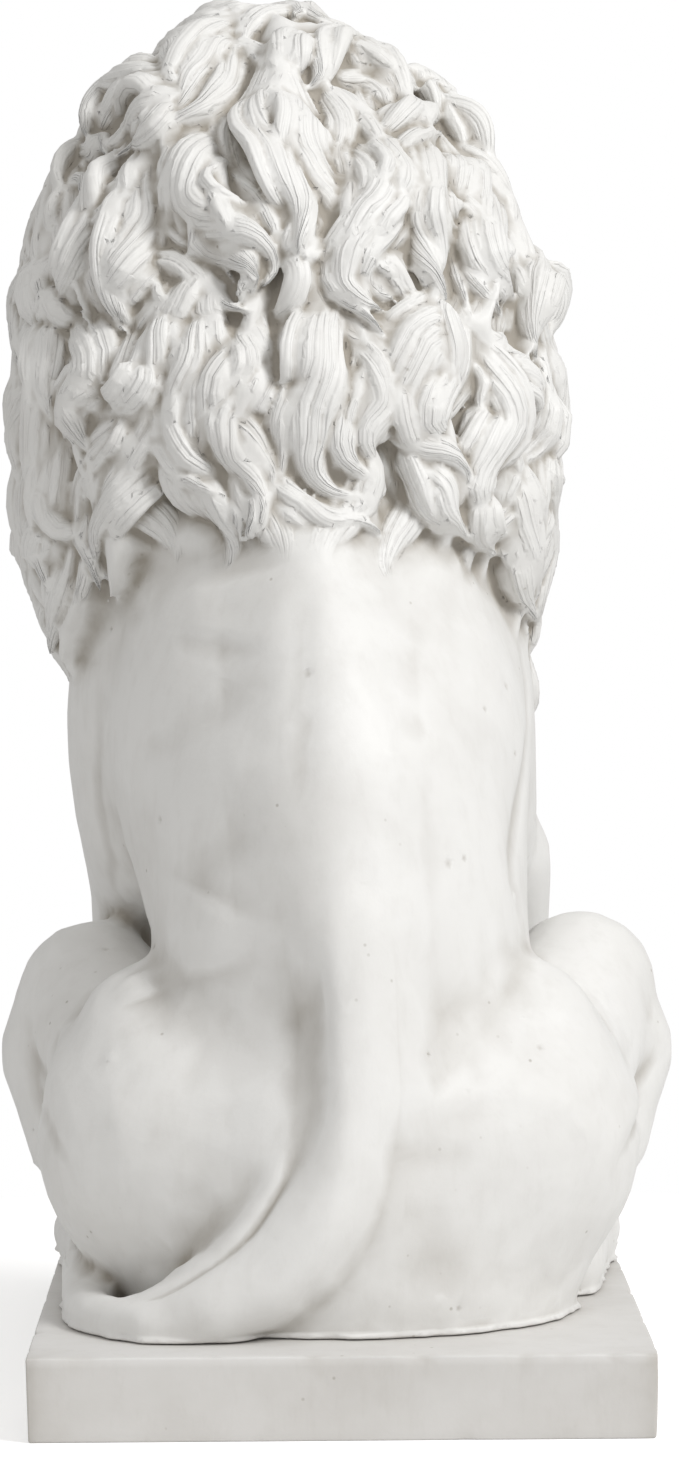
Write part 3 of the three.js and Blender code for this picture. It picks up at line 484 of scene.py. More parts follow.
def hanging_lock(azimuth, root, drop, half, sway, waves, lift, drift=0.0, **shape):
    """A lock that hangs drop mm from its root and swings sway degrees to each side on the way."""
    met = []
    for n in range(6):
        share = n / 5
        swing = sway * math.sin(math.pi * waves * share) + drift * share
        met.append(on_mane(azimuth + swing, root - drop * share))
    met = [pair for pair in met if pair[0] is not None]
    stops, outward = [spot for spot, _ in met], [normal for _, normal in met]
    if lift > -2:
        hair.add_fold(stops, outward, half)
    hair.add_lock(stops, outward, half, lift=lift - 2, **shape)


# each row's height in mm, how far its locks hang down and the step between them in degrees
UNDER_ROWS = [
    (678, 60, 36), (650, 78, 28), (596, 86, 20), (548, 90, 16), (500, 92, 15), (452, 88, 15), (410, 70, 15),
]
for root, drop, step in UNDER_ROWS:
    start = dice.uniform(0, step)
    for n in range(round(360 / step)):
        azimuth = start + n * step
        from_nose = abs((azimuth - HEAD_AZIMUTH + 180) % 360 - 180)
        from_back = abs((azimuth + 180) % 360 - 180)
        over_face = root > 440 and from_nose < FACE_HALF_ANGLE
        on_crown = root > 670 and from_back < 100
        on_back = root < 440 and from_back < 70
        if (over_face and root < 640) or on_crown or on_back:
            continue
        sway = dice.choice([-1, 1]) * dice.uniform(4, 8)
        fall = min(drop, 48) if over_face else drop
        hanging_lock(azimuth, root + dice.uniform(-10, 4), fall, 14, sway, 2, -2.5, curl=0)

# each row's height, how far it hangs down, the azimuths between which it runs, its locks and their half width
SIDE_ROWS = [
    (606, 96, 84, 126, 4, 12), (546, 104, 80, 132, 5, 13), (484, 108, 82, 140, 5, 13),
    (424, 100, 84, 146, 6, 13), (378, 84, 96, 150, 5, 12),
]
for root, drop, nearest, furthest, count, half in SIDE_ROWS:
    for n in range(count):
        for side in (-1, 1):
            azimuth = side * (nearest + (furthest - nearest) * n / (count - 1)) + dice.uniform(-3, 3)
            from_nose = abs((azimuth - HEAD_AZIMUTH + 180) % 360 - 180)
            if root > 500 and from_nose < 58:
                continue
            sway = dice.choice([-1, 1]) * dice.uniform(5, 9)
            top = root + dice.uniform(-16, 16)
            hanging_lock(azimuth, top, drop, half, sway, 2, 0.5, drift=3 * side, curl=2)

# each row's height, how far it hangs down, its locks, the azimuths that it spreads over and the half width
CHEST_ROWS = [
    (478, 92, 6, 96, 13), (436, 96, 6, 84, 13), (392, 96, 5, 66, 13), (348, 86, 4, 44, 12),
    (312, 66, 2, 18, 12),
]
for root, drop, count, spread, half in CHEST_ROWS:
    for n in range(count):
        share = n / (count - 1) - 0.5
        sway = dice.choice([-1, 1]) * dice.uniform(5, 8)
        top = root + dice.uniform(-8, 8)
        hanging_lock(184 + spread * share, top, drop, half, sway, 2, 4, drift=-spread * share * 0.25)

# A ruff springs from the edge of the face and is combed outwards and back, in an inner and an outer ring.
RUFF_RINGS = [(26, 60, 60, 34, 64, 12, 2), (17, 70, 42, 34, 84, 13, 2)]


def on_head(right, forward, up):
    """A place in the head's own millimetres, in the scene."""
    return HEAD_AT + HEAD_TURN @ Vector((right, forward, up)) * MM


for count, opening, start, spread, sweep, half, lift in RUFF_RINGS:
    for n in range(count):
        around = math.radians(-146 + 292 * n / (count - 1)) + dice.uniform(-0.05, 0.05)
        swirl = dice.choice([-1, 1]) * dice.uniform(0.1, 0.18)
        stops, outward = [], []
        for step in range(6):
            share = step / 5
            angle = around + swirl * math.sin(2 * math.pi * share)
            reach = opening + spread * share**0.6
            aim = on_head(reach * math.sin(angle), start - sweep * share, 6 + reach * math.cos(angle))
            spot, normal, _, _ = clay_tree.find_nearest(aim)
            stops.append(spot)
            outward.append(normal)
        hair.add_lock(stops, outward, half, rise=10, lift=lift)


# The face can't be seen in the photograph, so it is a plain lion's face of its own: broad muzzle, level
# brow, small round ears. It and the toes are modelled as balls of clay, pressed into ovals.
def press_ball(clay_mesh, at, radii, turn=Matrix.Identity(3)):
    """A ball of clay at a place, pressed to three radii in mm along turned axes."""
    move_to(LOCK_MESH, np.array(at) + BALL * radii * MM @ np.array(turn).T)
    clay_mesh.from_mesh(LOCK_MESH)


features = bmesh.new()
for side in (-1, 1):
    press_ball(features, on_head(side * 25, 86, 21), (12.5, 11, 11), HEAD_TURN)
    press_ball(features, on_head(side * 26, 88, 33.5), (18, 12, 6.5), HEAD_TURN)
    press_ball(features, on_head(side * 27, 87, 9.5), (14, 9, 4.5), HEAD_TURN)
    press_ball(features, on_head(side * 17, 121, -14), (20, 27, 18), HEAD_TURN)
    press_ball(features, on_head(side * 38, 56, -8), (26, 36, 34), HEAD_TURN)
    press_ball(features, on_head(side * 64, 30, 66), (19, 9, 23), HEAD_TURN)
    press_ball(features, on_head(side * 66, 30, 52), (15, 12, 16), HEAD_TURN)
press_ball(features, on_head(0, 104, 14), (16, 40, 12), HEAD_TURN)
press_ball(features, on_head(0, 142, 4), (19, 9, 11), HEAD_TURN)
press_ball(features, on_head(0, 118, -46), (19, 20, 13), HEAD_TURN)


# The paws each have four toes with a blunt claw, as far as the mould lets them show.
def press_toes(x, y, size):
    """Four toes in a row across x, whose middle two reach furthest forward."""
    for toe in (-1.5, -0.5, 0.5, 1.5):
        reach = 0 if abs(toe) > 1 else 8
        at = Vector((x + toe * 17.5 * size, y + reach * size, 13 * size)) * MM + Vector((0, 0, SLAB_TOP))
        press_ball(features, at, (10.5 * size, 20 * size, 15 * size))
        press_ball(features, at + Vector((0, 16 * size, -3 * size)) * MM, (3.6 * size, 9 * size, 6 * size))


for side in (-1, 1):
    press_toes(-8 + side * 90, 184, 1.0)
    press_toes(side * 123, 100, 0.88)


# The tail's end is a tuft of a few long strands, lying on the slab beside the left haunch.
TUFT_AT = [(-128, -84, 12), (-130, -56, 16), (-128, -26, 17), (-124, 8, 12)]
for half, swing in [(9, 0), (8, -9), (8, 9), (7, 5)]:
    stops = [
        Vector((x + swing * (0.4 + 0.2 * k), y, z + 8 - 0.3 * abs(swing))) * MM + Vector((0, 0, SLAB_TOP))
        for k, (x, y, z) in enumerate(TUFT_AT)
    ]
    tilt = Vector((swing * 0.06, 0, 1)).normalized()
    hair.add_lock(stops, [tilt] * 4, half, rise=5, lift=-1, curl=0)


# Hair, face and body are joined into one skin, the way they leave the mould, and cut off flat at the slab.
SKIN_GRAIN = 1.5 * MM
GAP_DEPTH = 2.6  # mm

hair_tree = BVHTree.FromBMesh(hair.mesh)
hair.mesh.faces.ensure_lookup_table()
whole = bmesh.new()
for part in (clay, hair.mesh, features):
    loose = bpy.data.meshes.new("part")
    part.to_mesh(loose)
    whole.from_mesh(loose)
    bpy.data.meshes.remove(loose)
lion_mesh = bpy.data.meshes.new("lion_figure")
whole.to_mesh(lion_mesh)
whole.free()
bpy.data.objects.remove(body)
lion = shown("lion_figure", lion_mesh)
skin = lion.modifiers.new("skin", "REMESH")
skin.mode = "VOXEL"
skin.voxel_size = SKIN_GRAIN
settled(lion)

skin_ends = edge_ends(lion.data)
skin_points = worked_smooth(points_of(lion.data), skin_ends, 2)
move_to(lion.data, skin_points)
# gaps between the locks stay shallow enough for the mould to come away
level = skin_points
for _ in range(40):
    level = neighbour_mean(level, skin_ends)
gap_depth = ((level - skin_points) * normals_of(lion.data)).sum(1) / MM
too_deep = 0.8 * np.clip(1 - GAP_DEPTH / np.maximum(gap_depth, 0.1), 0, 1) * mane_share(skin_points)
move_to(lion.data, skin_points + too_deep[:, None] * (level - skin_points))

# The back is modelled in long soft ridges and furrows that follow the photograph. Each is a height in
# mm, a half width in mm, whether it is a roof with straight slopes, and the pixels that it passes through.
BACK_FORMS = [
    (6.0, 50, True, [(318, 480), (318, 556), (318, 640), (320, 740), (326, 840), (336, 940), (342, 1040)]),
    (7.0, 26, True, [(328, 860), (338, 960), (343, 1050), (346, 1110), (338, 1180), (318, 1236), (284, 1282),
                     (226, 1312)]),
    (-1.6, 9, False, [(303, 545), (303, 620), (305, 720), (310, 840)]),
    (-2.8, 13, False, [(312, 930), (317, 1000), (317, 1060), (312, 1110), (300, 1156), (280, 1196),
                       (256, 1226)]),
    (-2.2, 3, False, [(302, 1136), (290, 1172), (268, 1208), (244, 1240), (200, 1272), (150, 1298),
                      (106, 1304)]),
    (1.5, 6, False, [(292, 1080), (288, 1140), (262, 1200), (226, 1240), (180, 1270), (130, 1292)]),
    (-4.5, 28, False, [(410, 1090), (420, 1170), (430, 1240), (436, 1330)]),
    (3.0, 26, False, [(216, 890), (208, 930), (214, 980)]),
    (2.6, 30, False, [(232, 570), (226, 610), (210, 650)]),
    (-2.0, 16, False, [(258, 640), (230, 700), (160, 740), (120, 760)]),
    (2.0, 18, False, [(270, 740), (200, 780), (150, 830)]),
    (-2.0, 14, False, [(268, 820), (220, 850), (180, 900)]),
    (3.2, 9, False, [(124, 978), (136, 990), (140, 1004)]),
    (-2.0, 8, False, [(34, 980), (36, 1060), (54, 1140), (84, 1214)]),
    (2.0, 10, False, [(56, 980), (58, 1060), (78, 1140), (106, 1204)]),
    (-2.4, 6, False, [(646, 990), (647, 1070), (630, 1140), (606, 1196)]),
    (1.6, 9, False, [(632, 960), (634, 1060), (614, 1140), (590, 1190)]),
    (-2.4, 8, False, [(104, 640), (98, 720), (96, 800), (108, 860), (128, 910), (152, 958)]),
    (-2.4, 8, False, [(522, 600), (528, 690), (524, 780), (512, 860), (520, 910), (536, 956)]),
    (1.8, 24, False, [(470, 600), (484, 680), (478, 760)]),
    (-1.8, 16, False, [(410, 640), (404, 700), (416, 760)]),
]


# Painted shade, partly unwiped wash: its strength, its half width in mm and the pixels that it passes
# through.
PAINTED_SHADE_AND_WASH = [
    (0.30, 13, [(318, 930), (322, 1000), (324, 1060), (318, 1120), (300, 1180)]),
    (0.14, 26, [(380, 1150), (430, 1220), (450, 1280), (420, 1330)]),
    (0.12, 18, [(300, 600), (302, 700), (304, 800), (304, 900)]),
    (0.16, 10, [(104, 700), (104, 780), (112, 850), (136, 920), (160, 960)]),
    (0.12, 10, [(520, 760), (516, 840), (524, 900), (536, 950)]),
    (0.14, 12, [(30, 990), (34, 1080), (60, 1160), (90, 1230)]),
    (0.12, 16, [(120, 1070), (150, 1130), (200, 1180), (240, 1200)]),
    (0.16, 10, [(110, 1330), (180, 1345), (260, 1345), (330, 1335)]),
]


def nearest_on(line, points):
    """How far each point is from a line of stops, and the share of the line where it is nearest."""
    best = np.full(len(points), 1e9)
    share = np.zeros(len(points))
    for n in range(len(line) - 1):
        way = line[n + 1] - line[n]
        along = np.clip((points - line[n]) @ way / (way @ way), 0, 1)
        gap = ((points - line[n] - along[:, None] * way) ** 2).sum(1)
        nearer = gap < best
        best[nearer] = gap[nearer]
        share[nearer] = (n + along[nearer]) / (len(line) - 1)
    return np.sqrt(best), share


FLAWS = 70
BEAD = 2.6  # the mean thickness of the bead, mm


def traced(pixels):
    """The line on the skin behind these pixels."""
    stops = [skin_tree.ray_cast(CAMERA_AT, sight_line(px, py))[0] for px, py in pixels]
    return curve_through([stop for stop in stops if stop is not None], np.linspace(0, 1, 17))


skin_bm = bmesh.new()
skin_bm.from_mesh(lion.data)
skin_tree = BVHTree.FromBMesh(skin_bm)
skin_bm.free()
skin_points, skin_normals = points_of(lion.data), normals_of(lion.data)
rise = np.zeros(len(skin_points))
bare = 1 - mane_share(skin_points)
behind_lion = np.nonzero((skin_normals[:, 1] < 0.3) & (skin_points[:, 1] < 60 * MM))[0]
for height, half, roof, pixels in BACK_FORMS:
    gap, share = nearest_on(traced(pixels), skin_points[behind_lion])
    across = gap / (half * MM)
    profile = np.maximum(0, 1.05 - np.sqrt(across**2 + 0.012)) if roof else np.exp(-(across**2))
    ends = smooth_step(0, 0.3, share) * (1 - smooth_step(0.7, 1, share))
    rise[behind_lion] += height * profile * ends
# small burrs and air holes that the mould leaves
for _ in range(FLAWS):
    flaw = skin_points[behind_lion[dice.randrange(len(behind_lion))]]
    flaw_width = dice.uniform(0.9, 2.4) * MM
    apart = ((skin_points[behind_lion] - flaw) ** 2).sum(1) / flaw_width**2
    rise[behind_lion] += dice.choice([0.9, -0.8]) * np.exp(-apart)
rise *= bare
# painted shade along the furrows of the back, the creases of the flanks and under the bead, partly brownish
# wash
painted_shade_and_wash = np.zeros(len(skin_points))
for strength, half, pixels in PAINTED_SHADE_AND_WASH:
    gap, share = nearest_on(traced(pixels), skin_points[behind_lion])
    ends = smooth_step(0, 0.3, share) * (1 - smooth_step(0.7, 1, share))
    painted_shade_and_wash[behind_lion] += strength * np.exp(-((gap / (half * MM)) ** 2)) * ends
painted_shade_and_wash = painted_shade_and_wash * bare + 0.05 * (1 - bare)

# filler is wiped into the joint all round the foot, and stands out from it as a thin bead
above = (skin_points[:, 2] - SLAB_TOP) / MM
round_foot = np.arctan2(skin_points[:, 0], skin_points[:, 1])
bead = BEAD + 0.5 * np.sin(23 * round_foot) + 0.5 * np.sin(41 * round_foot + 1)
bead += 0.3 * np.sin(67 * round_foot)
bead *= np.exp(-(((above - 1.4) / 1.6) ** 2))
outwards = unit(skin_normals * [1, 1, 0]) * (bead * MM)[:, None]
skin_points = skin_points + skin_normals * (rise * MM)[:, None] + outwards
move_to(lion.data, skin_points)


# What the finish needs is kept with the skin, first of all how deep each spot lies in the crevices.
def hollowness(mesh, near, far):
    """How far each corner lies below the mean of the skin round it, in mm, for fine and for broad hollows."""
    ends = edge_ends(mesh)
    points, normals = points_of(mesh), normals_of(mesh)
    mean = points
    found = []
    for rounds in (near, far):
        for _ in range(rounds):
            mean = neighbour_mean(mean, ends)
        found.append(((mean - points) * normals).sum(1) / MM)
    return found


def keep(mesh, name, values, kind="FLOAT"):
    """Stores one value for each corner under a name that the finish can read."""
    kept = mesh.attributes.new(name, kind, "POINT")
    field = "value" if kind == "FLOAT" else "vector"
    kept.data.foreach_set(field, np.asarray(values, dtype=np.float32).ravel())


fine, broad = hollowness(lion.data, 6, 50)
# the painted shade is added to the crevices' depth, and the finish paints both in the wash's colour
keep(lion.data, "crevice_and_painted_shade", np.clip(fine * 0.6 + broad * 0.27 + painted_shade_and_wash, -1, 1.4))

LION_TRIANGLES = 190000
lion.data.calc_loop_triangles()
thin = lion.modifiers.new("thin", "DECIMATE")
thin.ratio = LION_TRIANGLES / len(lion.data.loop_triangles)
settled(lion)

flat = bmesh.new()
flat.from_mesh(lion.data)
cut = bmesh.ops.bisect_plane(
    flat,
    geom=flat.verts[:] + flat.edges[:] + flat.faces[:],
    plane_co=(0, 0, SLAB_TOP),
    plane_no=(0, 0, 1),
    clear_inner=True,
)
rim = [edge for edge in cut["geom_cut"] if isinstance(edge, bmesh.types.BMEdge)]
bmesh.ops.triangle_fill(flat, edges=rim, use_beauty=True)
flat.to_mesh(lion.data)
flat.free()
for face in lion.data.polygons:
    face.use_smooth = True


# The strands are drawn by the finish, so the skin keeps how the hair is combed at each corner.
REACH = 4 * MM  # how far outside the skin the outermost lock is looked for
SUNK = 2.4 * MM  # a lock this far under the skin shows no strands
combed = np.zeros((len(lion.data.vertices), 3))
lock_of = np.full(len(lion.data.vertices), -1)
for n, (vertex, normal) in enumerate(zip(lion.data.vertices, lion.data.vertex_normals)):
    spot, _, face, depth = hair_tree.ray_cast(vertex.co + normal.vector * REACH, -normal.vector, 2 * REACH)
    if spot is None:
        continue
    corners = hair.mesh.faces[face].verts
    weights = poly_3d_calc([corner.co for corner in corners], spot)
    side = sum(w * hair.combing[c.index][0] for w, c in zip(weights, corners))
    length = sum(w * hair.combing[c.index][1] for w, c in zip(weights, corners))
    combed[n] = (side, length, max(0, 1 - abs(depth - REACH) / SUNK))
    lock_of[n] = corners[0].index // len(BALL)
# no strand is drawn from one lock to the next
lion_ends = edge_ends(lion.data)
strayed = lion_ends[lock_of[lion_ends[:, 0]] != lock_of[lion_ends[:, 1]]]
combed[strayed[:, 0], 2] = 0
keep(lion.data, "combing", combed, "FLOAT_VECTOR")
clay.free()


# The whole statue has one finish: white stone composite with a matt antique wash, which stays grey-brown in
# the crevices and is rubbed off the high places. Fine pits and specks of the casting show all over.
# Painted shade in the same grey-brown darkens furrows of the back, the joint under the bead and the slab's
# sides.
def node_group(name, inputs, outputs):
    """An empty shader node group with these named sockets, and its input and output nodes."""
    group = bpy.data.node_groups.new(name, "ShaderNodeTree")
    for socket, kind, value in inputs:
        made = group.interface.new_socket(socket, in_out="INPUT", socket_type=kind)
        if value is not None:
            made.default_value = value
    for socket, kind in outputs:
        group.interface.new_socket(socket, in_out="OUTPUT", socket_type=kind)
    return group, group.nodes.new("NodeGroupInput"), group.nodes.new("NodeGroupOutput")


def node(tree, kind, *links, **settings):
    """A node of this kind. links pair each input with a socket or a value; settings are its properties."""
    made = tree.nodes.new(kind)
    for name, value in settings.items():
        setattr(made, name, value)
    for socket, source in links:
        if isinstance(source, bpy.types.NodeSocket):
            tree.links.new(source, made.inputs[socket])
        else:
            made.inputs[socket].default_value = source
    return made


def maths(tree, operation, *terms, **settings):
    """The result of this operation on the terms."""
    return node(tree, "ShaderNodeMath", *enumerate(terms), operation=operation, **settings).outputs[0]


def noise(tree, place, scale, detail, roughness=0.5):
    """A cloudy pattern at each place."""
    links = ("Vector", place), ("Scale", scale), ("Detail", detail), ("Roughness", roughness)
    return node(tree, "ShaderNodeTexNoise", *links).outputs["Fac"]


def ranged(tree, value, low, high, to_low, to_high):
    """The value, carried over from the range low to high into the range to_low to to_high."""
    links = ("Value", value), ("From Min", low), ("From Max", high), ("To Min", to_low), ("To Max", to_high)
    return node(tree, "ShaderNodeMapRange", *links).outputs[0]


def stretched(tree, place, stretch):
    """The place, stretched along each axis."""
    return node(tree, "ShaderNodeVectorMath", (0, place), (1, stretch), operation="MULTIPLY").outputs[0]


def antique_wash_and_painted_shade():
    """Colour, roughness and height of stone from how deep in the crevices a spot lies, with painted shade."""
    group, given, result = node_group(
        "antique_wash_and_painted_shade",
        [
            ("Position", "NodeSocketVector", None),
            ("Crevice_and_painted_shade", "NodeSocketFloat", 0.0),
            ("Stone", "NodeSocketColor", (0.8, 0.795, 0.778, 1)),
            ("Wash", "NodeSocketColor", (0.37, 0.34, 0.295, 1)),
        ],
        [("Colour", "NodeSocketColor"), ("Roughness", "NodeSocketFloat"), ("Height", "NodeSocketFloat")],
    )
    place = given.outputs["Position"]
    cloud = noise(group, place, 14.0, 4.0, 0.6)
    # wash in the crevices, and painted shade, thinner here and there
    uneven = maths(group, "MULTIPLY_ADD", noise(group, place, 60.0, 5.0, 0.7), 0.5, 0.75)
    washed_and_shaded = ranged(group, maths(group, "MULTIPLY", given.outputs["Crevice_and_painted_shade"], uneven), -0.05, 1.05, 0.0, 1.0)
    # a veil of it in clouds, and marks of wiping that run downwards
    cloudy = ranged(group, cloud, 0.42, 0.72, 0.0, 0.16)
    wiping = noise(group, stretched(group, place, (1.0, 1.0, 0.35)), 120.0, 4.0, 0.65)
    wiped = ranged(group, wiping, 0.5, 0.8, 0.0, 0.09)
    veil = maths(group, "ADD", washed_and_shaded, maths(group, "ADD", cloudy, wiped))
    # small dark specks, in patches
    pits = node(group, "ShaderNodeTexVoronoi", ("Vector", place), ("Scale", 95.0), ("Randomness", 1.0))
    speck = ranged(group, pits.outputs["Distance"], 0.05, 0.11, 0.5, 0.0)
    specks = maths(group, "MULTIPLY", speck, ranged(group, cloud, 0.55, 0.62, 0.0, 1.0))
    strength = maths(group, "ADD", veil, specks, use_clamp=True)
    stone_to_wash = (0, strength), (6, given.outputs["Stone"]), (7, given.outputs["Wash"])
    colour = node(group, "ShaderNodeMix", *stone_to_wash, data_type="RGBA")
    grain = maths(group, "MULTIPLY", noise(group, place, 420.0, 3.0, 0.6), 0.35)
    group.links.new(colour.outputs[2], result.inputs["Colour"])
    group.links.new(ranged(group, strength, 0.0, 1.0, 0.52, 0.85), result.inputs["Roughness"])
    group.links.new(maths(group, "SUBTRACT", grain, specks), result.inputs["Height"])
    return group


def combed_lines():
    """The height of strands of one width, which run along each lock with sharp furrows between them."""
    group, given, result = node_group(
        "combed_lines",
        [
            ("Combing", "NodeSocketVector", None),
            ("Spacing", "NodeSocketFloat", 2.4),
            ("Wander", "NodeSocketFloat", 6.0),
        ],
        [("Height", "NodeSocketFloat")],
    )
    combing = given.outputs["Combing"]
    parts = node(group, "ShaderNodeSeparateXYZ", (0, combing))
    drift = noise(group, stretched(group, combing, (1.0, 0.18, 0.0)), 0.14, 1.0)
    wander = maths(group, "MULTIPLY", drift, given.outputs["Wander"])
    turns = maths(group, "DIVIDE", maths(group, "ADD", parts.outputs["X"], wander), given.outputs["Spacing"])
    wave = maths(group, "SINE", maths(group, "MULTIPLY", turns, math.pi))
    crest = maths(group, "POWER", maths(group, "ABSOLUTE", wave), 1.3)
    group.links.new(maths(group, "MULTIPLY", crest, parts.outputs["Z"]), result.inputs["Height"])
    return group


WASH_AND_SHADE = antique_wash_and_painted_shade()
COMBED = combed_lines()


# each size of strand: its width in mm, how far it wanders in mm and how deep it is in metres
STRAND_LINES = [(2.1, 5.0, 0.0002), (5.3, 9.0, 0.0005)]


def stone_finish(name, stone, combing):
    """The stone's material; combing adds the strand lines that only the lion has."""
    material = bpy.data.materials.new(name)
    material.use_nodes = True
    tree = material.node_tree
    shader = tree.nodes["Principled BSDF"]
    place = node(tree, "ShaderNodeTexCoord")
    crevice_and_painted_shade = node(tree, "ShaderNodeAttribute", attribute_name="crevice_and_painted_shade")
    look = node(tree, "ShaderNodeGroup", node_tree=WASH_AND_SHADE)
    tree.links.new(place.outputs["Object"], look.inputs["Position"])
    tree.links.new(crevice_and_painted_shade.outputs["Fac"], look.inputs["Crevice_and_painted_shade"])
    look.inputs["Stone"].default_value = stone
    surface = ("Height", look.outputs["Height"]), ("Distance", 0.0005), ("Strength", 0.35)
    bump = node(tree, "ShaderNodeBump", *surface)
    if combing:
        combed_by = node(tree, "ShaderNodeAttribute", attribute_name="combing")
        under = bump
        for spacing, wander, depth in STRAND_LINES:
            lines = node(tree, "ShaderNodeGroup", node_tree=COMBED)
            tree.links.new(combed_by.outputs["Vector"], lines.inputs["Combing"])
            lines.inputs["Spacing"].default_value = spacing
            lines.inputs["Wander"].default_value = wander
            relief = ("Height", lines.outputs["Height"]), ("Distance", depth), ("Strength", 1.0)
            strands = node(tree, "ShaderNodeBump", *relief)
            tree.links.new(strands.outputs["Normal"], under.inputs["Normal"])
            under = strands
    tree.links.new(look.outputs["Colour"], shader.inputs["Base Color"])
    tree.links.new(look.outputs["Roughness"], shader.inputs["Roughness"])
    tree.links.new(bump.outputs["Normal"], shader.inputs["Normal"])
    return material


lion.data.materials.clear()
lion.data.materials.append(stone_finish("stone_with_wash_and_painted_shade", (0.80, 0.795, 0.778, 1), combing=True))
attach(lion, "root")
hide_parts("lion")


# The slab is a plain casting of the same composite. Its faces are nearly flat, and its edges are worn and
# nicked.
SLAB_GRAIN = 6 * MM
NICKS = 60
NICK_DEPTH = 2.0

slab_bm = bmesh.new()
middle = (slab_low + slab_high) / 2
size = slab_high - slab_low
bmesh.ops.create_cube(slab_bm, size=1, matrix=Matrix.Translation(middle) @ Matrix.Diagonal((*size, 1)))
for corner in slab_bm.verts:
    if corner.co.z < middle.z:
        corner.co.x -= math.copysign(1.0 * MM, corner.co.x)
        corner.co.y -= math.copysign(1.0 * MM, corner.co.y)
bmesh.ops.bevel(
    slab_bm, geom=slab_bm.edges[:], offset=1.1 * MM, segments=3, profile=0.5, affect="EDGES", material=-1
)
# its faces are cut up finely enough to take the nicks
for axis in range(3):
    for n in range(1, math.ceil(size[axis] / SLAB_GRAIN)):
        at, way = slab_low.copy(), Vector((0, 0, 0))
        at[axis] += n * SLAB_GRAIN
        way[axis] = 1
        whole_slab = slab_bm.verts[:] + slab_bm.edges[:] + slab_bm.faces[:]
        bmesh.ops.bisect_plane(slab_bm, geom=whole_slab, plane_co=at, plane_no=way)
bmesh.ops.recalc_face_normals(slab_bm, faces=slab_bm.faces[:])
slab_mesh = bpy.data.meshes.new("slab")
slab_bm.to_mesh(slab_mesh)
slab_bm.free()

slab_points = points_of(slab_mesh)
inset = np.minimum(slab_points - np.array(slab_low), np.array(slab_high) - slab_points)
edge_share = np.exp(-np.sort(inset, axis=1)[:, 1] / (4 * MM))
worn = np.zeros(len(slab_points))
for _ in range(NICKS):
    seed_corner = slab_points[dice.choice(np.nonzero(edge_share > 0.7)[0].tolist())]
    reach = dice.uniform(2.5, 6) * MM
    gap = np.linalg.norm(slab_points - seed_corner, axis=1)
    worn = np.maximum(worn, dice.uniform(0.3, 1) * np.exp(-((gap / reach) ** 2)))
inward = unit(np.array(middle) - slab_points) * [1, 1, 0.4]
near_top = slab_points[:, 2] > slab_high.z - 3 * MM
near_ground = slab_points[:, 2] < slab_low.z + 3 * MM
inward[:, 2] = np.where(near_top, -0.6, np.where(near_ground, 0.6, 0))
slab_points = slab_points + inward * (worn * edge_share * NICK_DEPTH * MM)[:, None]
slab_points[:, 2] = np.clip(slab_points[:, 2], slab_low.z, slab_high.z)
move_to(slab_mesh, slab_points)
slab = shown("slab", slab_mesh)
for face in slab_mesh.polygons:
    face.use_smooth = True
# wash in the nicks, darker near the foot and the upright corners; painted shade darkens the sides
foot = BVHTree.FromPolygons([v.co for v in lion.data.vertices], [p.vertices[:] for p in lion.data.polygons])
near_foot = np.array([foot.find_nearest(Vector(p))[3] for p in slab_points]) / MM
at_corner = np.exp(-np.sort(inset[:, :2], axis=1)[:, 1] / (9 * MM))
# painted shade: the slab's sides are darker than its top
on_side = smooth_step(0, 4, (slab_high.z - slab_points[:, 2]) / MM)
slab_wash_and_painted_shade = 0.4 * np.exp(-near_foot / 4) + 0.22 * worn + 0.35 * at_corner + 0.22 * on_side - 0.05
keep(slab_mesh, "crevice_and_painted_shade", slab_wash_and_painted_shade)
slab_mesh.materials.append(stone_finish("slab_stone", (0.72, 0.71, 0.695, 1), combing=False))
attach(slab, "root")
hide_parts("plinth")


# The setting is a plain pale round floor under soft studio light, strongest from the right and above, with
# white behind it.
FLOOR_RADIUS = 0.62
FLOOR_GLOW = 0.35

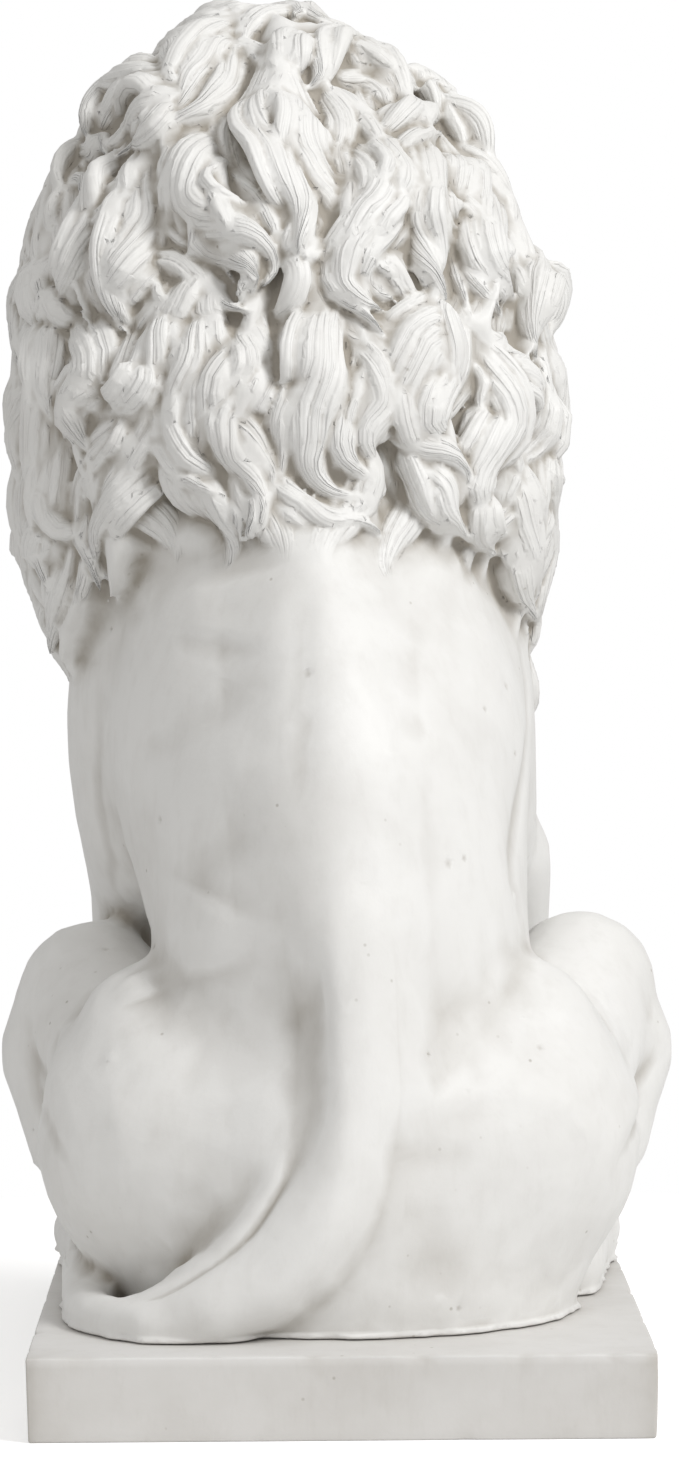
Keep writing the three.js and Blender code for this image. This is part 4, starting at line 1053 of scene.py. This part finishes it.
floor_bm = bmesh.new()
bmesh.ops.create_circle(floor_bm, cap_ends=True, segments=128, radius=FLOOR_RADIUS)
floor_mesh = bpy.data.meshes.new("floor")
floor_bm.to_mesh(floor_mesh)
floor_bm.free()
floor = shown("floor", floor_mesh)
floor_paint = bpy.data.materials.new("floor_paint")
floor_paint.use_nodes = True
floor_shader = floor_paint.node_tree.nodes["Principled BSDF"]
floor_shader.inputs["Base Color"].default_value = (0.93, 0.93, 0.93, 1)
floor_shader.inputs["Roughness"].default_value = 0.9
# shadows on the floor stay faint to the camera, and its glow lights nothing
floor_shader.inputs["Emission Color"].default_value = (1, 1, 1, 1)
looked_at = node(floor_paint.node_tree, "ShaderNodeLightPath")
glow = maths(floor_paint.node_tree, "MULTIPLY", looked_at.outputs["Is Camera Ray"], FLOOR_GLOW)
floor_paint.node_tree.links.new(glow, floor_shader.inputs["Emission Strength"])
floor_mesh.materials.append(floor_paint)


def soft_light(name, at, width, power):
    """A square lamp that faces the statue's middle."""
    lamp = bpy.data.objects.new(name, bpy.data.lights.new(name, "AREA"))
    lamp.data.size = width
    lamp.data.energy = power
    lamp.location = at
    lamp.rotation_mode = "QUATERNION"
    lamp.rotation_quaternion = (Vector((0, 0, 0.4)) - Vector(at)).to_track_quat("-Z", "Y")
    bpy.context.scene.collection.objects.link(lamp)


soft_light("key", (2.0, -1.5, 2.4), 0.9, 60)
soft_light("fill", (-0.5, -2.4, 2.3), 1.8, 9)

world = bpy.data.worlds.new("studio")
bpy.context.scene.world = world
world.use_nodes = True
sky = world.node_tree
lit = sky.nodes["Background"]
lit.inputs["Color"].default_value = (1, 0.99, 0.975, 1)
lit.inputs["Strength"].default_value = 0.55
seen = node(sky, "ShaderNodeBackground", ("Color", (1, 1, 1, 1)), ("Strength", 1.0))
ray = node(sky, "ShaderNodeLightPath")
lit_or_seen = (0, ray.outputs["Is Camera Ray"]), (1, lit.outputs[0]), (2, seen.outputs[0])
either = node(sky, "ShaderNodeMixShader", *lit_or_seen)
sky.links.new(either.outputs[0], sky.nodes["World Output"].inputs["Surface"])
bpy.context.scene.view_settings.view_transform = "Standard"
